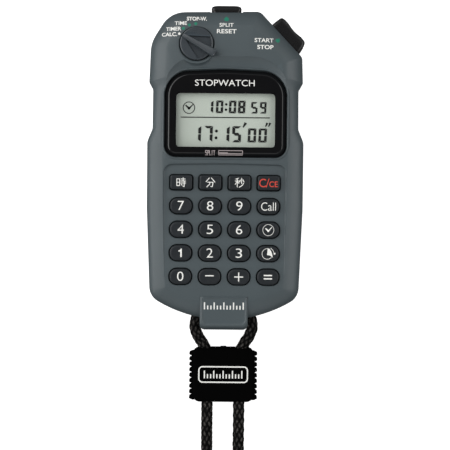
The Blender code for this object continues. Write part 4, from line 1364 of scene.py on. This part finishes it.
def make_tab():
    """The raised tab over the cord's post, bevelled on every side."""
    rings = []
    for side, low, high, z in TAB_WALLS + smooth(TAB_FACE):
        corners = box_corners(-11.6 + side, 11.6 - side, -78.6 + low, -62.1 - high, 1)
        corners[2:] = [(x, y, 2.4) for x, y, _ in corners[2:]]
        rings.append([(x, y, z + 0.02 * (y + 62.1)) for x, y in rounded(corners)])
    return place(shade(ring_solid("name_tab", rings), 50), CASE, "case", ("lanyard_tab",), "case_plastic")


# ---- slider


# Along a cord hole from the slider's lower mouth: place in Y, in X, half width, half height, height.
HOLE_SECTIONS = (
    (-120, 7.85, 3.4, 3.4, 3.9), (-115, 7.85, 3.4, 3.4, 3.9), (-114.4, 7.85, 3.22, 3.22, 3.9),
    (-95.5, 7.85, 3.22, 3.22, 3.9), (-91, 8.35, 3.75, 3.22, 4), (-88.6, 8.75, 4.2, 3.3, 4.08),
    (-87, 9.05, 4.8, 3.55, 4.15),
)


def slider_hole(side):
    """A cord hole that widens towards its upper mouth, where the cord comes in at a slant."""
    rings = []
    for y, x, wide, high, z in HOLE_SECTIONS:
        rings.append([(side * (x + wide * c), y, z + high * s) for c, s in directions(36)])
    return ring_solid("mouth", rings)


def soft_block(corners, z_low, z_high, soft):
    """A block with rounded top and bottom edges."""
    angles = [math.pi / 2 * i / 4 for i in range(5)]
    edge = [(soft * (1 - math.sin(a)), soft * (1 - math.cos(a))) for a in angles]
    profile = [(inset, z_low + rise) for inset, rise in edge]
    profile += [(inset, z_high - rise) for inset, rise in edge[::-1]]
    return sections("block", corners, profile)


def make_slider():
    profile = smooth([(1.5, 0), (0.7, 0.25), (0.2, 0.95), (0, 1.9)])
    profile += smooth([(0, 5.9), (0.2, 6.8), (0.75, 7.5), (1.7, 7.8)])
    slider = sections("cord_slider", box_corners(-15.2, 15.2, -115.1, -88.1, 3.8), profile)
    join(slider, soft_block(box_corners(-1.6, 1.6, -90, -87.7, 0.6), 2, 5.8, 0.35))
    for i in range(SLIDER_TEETH):
        y = -91.2 - i * 2.7
        tooth = [(14, y + 1.25, 0.3), (15.2, y + 1.25, 0.5), (16.75, y + 0.55, 0.45)]
        tooth += [(16.75, y - 0.55, 0.45), (15.2, y - 1.25, 0.5), (14, y - 1.25, 0.3)]
        for corners in (tooth, mirrored(tooth)):
            join(slider, soft_block(corners, 1, 6.8, 0.35))
    for side in (1, -1):
        cut(slider, slider_hole(side))
    place(shade(slider, 50), SLIDER, "lanyard_slider", ("lanyard_slider",), "slider_rubber")
    border = frame_strip(-12.25, 12.25, SLIDER_MID_Y - 4.1, SLIDER_MID_Y + 4.1, 2.1, 0.62)
    badge = gather("slider_print", [border, scale_marks(0, SLIDER_MID_Y, 18.4, 3.8)])
    place(lay_on(badge, ground_under(slider)), WHITE, "lanyard_slider")


# ---- inner CAD nodes


def finish_inner_nodes():
    white = moulded("white_plastic", (0.56, 0.56, 0.54), 0.5)
    rubber = moulded("elastomer", (0.26, 0.26, 0.25), 0.75, grain=0.02)
    black = moulded("switch_plastic", (0.022, 0.022, 0.024), 0.5)
    ink = printed("black_print", (0.005, 0.005, 0.006))
    brass = metal("switch_brass", (0.62, 0.46, 0.16), 0.32)
    looks = {
        "lens_mask": ink,
        "lcd_panel": crystal_panel(),
        "lcd_frame": white,
        "dial_rotor": white,
        "lcd_connector_strip": rubber,
        "keypad_sheet": rubber,
        "main_board": circuit_board(),
        "processor_chip": black,
        "start_stop_switch": black,
        "split_reset_switch": black,
        "mode_switch": brass,
        "battery_cell_upper": cell_jacket(),
        "battery_cell_lower": bpy.data.materials["cell_jacket"],
    }
    for name, node in NODES.items():
        if node.hide_render:
            continue
        node.data.materials.clear()
        node.data.materials.append(looks.get(name, STEEL))


# ---- stage


def make_floor():
    """A pale sheet. It takes the object's shadow, and doesn't throw light back up at its walls."""
    mesh = bpy.data.meshes.new("floor")
    bm = bmesh.new()
    bmesh.ops.create_grid(bm, x_segments=24, y_segments=24, size=3)
    bm.to_mesh(mesh)
    bm.free()
    floor = linked("floor", mesh)
    floor.location = (0, 0, -0.0001)
    floor.visible_diffuse = False
    floor.visible_glossy = False
    m = Nodes("floor_paper")
    fibre = m.noise(0.4, 3)
    paper = m.mix(fibre, (0.60, 0.60, 0.60), (0.62, 0.62, 0.62))
    m.set(colour=paper, roughness=0.9, specular=0.05, glow=(1, 1, 1), glow_strength=0.9)
    mesh.materials.append(m.owner)


def softbox(name, spot, size, power, target=(0, -0.02, 0)):
    data = bpy.data.lights.new(name, "AREA")
    data.shape = "RECTANGLE"
    data.size, data.size_y = size
    data.energy = power
    light = linked(name, data)
    light.location = spot
    light.rotation_euler = (Vector(target) - Vector(spot)).to_track_quat("-Z", "Y").to_euler()


# The studio's brightness by height: below the table, at the horizon, on the walls, and overhead.
STUDIO = ((-1, 0.12), (-0.05, 0.14), (0.12, 0.24), (0.5, 0.42), (0.8, 0.33), (0.96, 0.07), (1, 0.05))


def light_stage():
    scene = bpy.context.scene
    scene.view_settings.view_transform = "Standard"
    studio = Nodes("studio", "worlds", "Generated")
    scene.world = studio.owner
    ramp = studio.add("ValToRGB", {"Fac": studio.span(studio.split()[2], -1, 1)})
    stops = ramp.color_ramp.elements
    for height, _ in STUDIO[1:-1]:
        stops.new((height + 1) / 2)
    for stop, (_, strength) in zip(stops, STUDIO):
        stop.color = (strength, strength, strength, 1)
    studio.feed(studio.tree.nodes["Background"].inputs["Color"], ramp.outputs["Color"])
    softbox("left_softbox", (-0.76, 0.34, 0.86), (1.3, 1.1), 10.4)
    softbox("low_left_softbox", (-1.15, 0, 0.36), (1.5, 0.3), 5)
    softbox("right_softbox", (0.86, 0.16, 0.7), (1, 0.8), 5.8)
    softbox("front_softbox", (0, -1.05, 0.7), (1.4, 0.5), 1.7)


front = make_front()
make_rear()
make_door()
label_plate()
lens = make_lens()
make_readout()
make_keys()
make_dial()
make_pushers()
print_case(ground_under(front))
print_lens(ground_under(lens))
tab = make_tab()
place(lay_on(gather("tab_print", [scale_marks(0.05, -66.7, 18.6, 3.4)]), ground_under(tab)), WHITE, "case")
make_slider()
finish_inner_nodes()
make_floor()
light_stage()
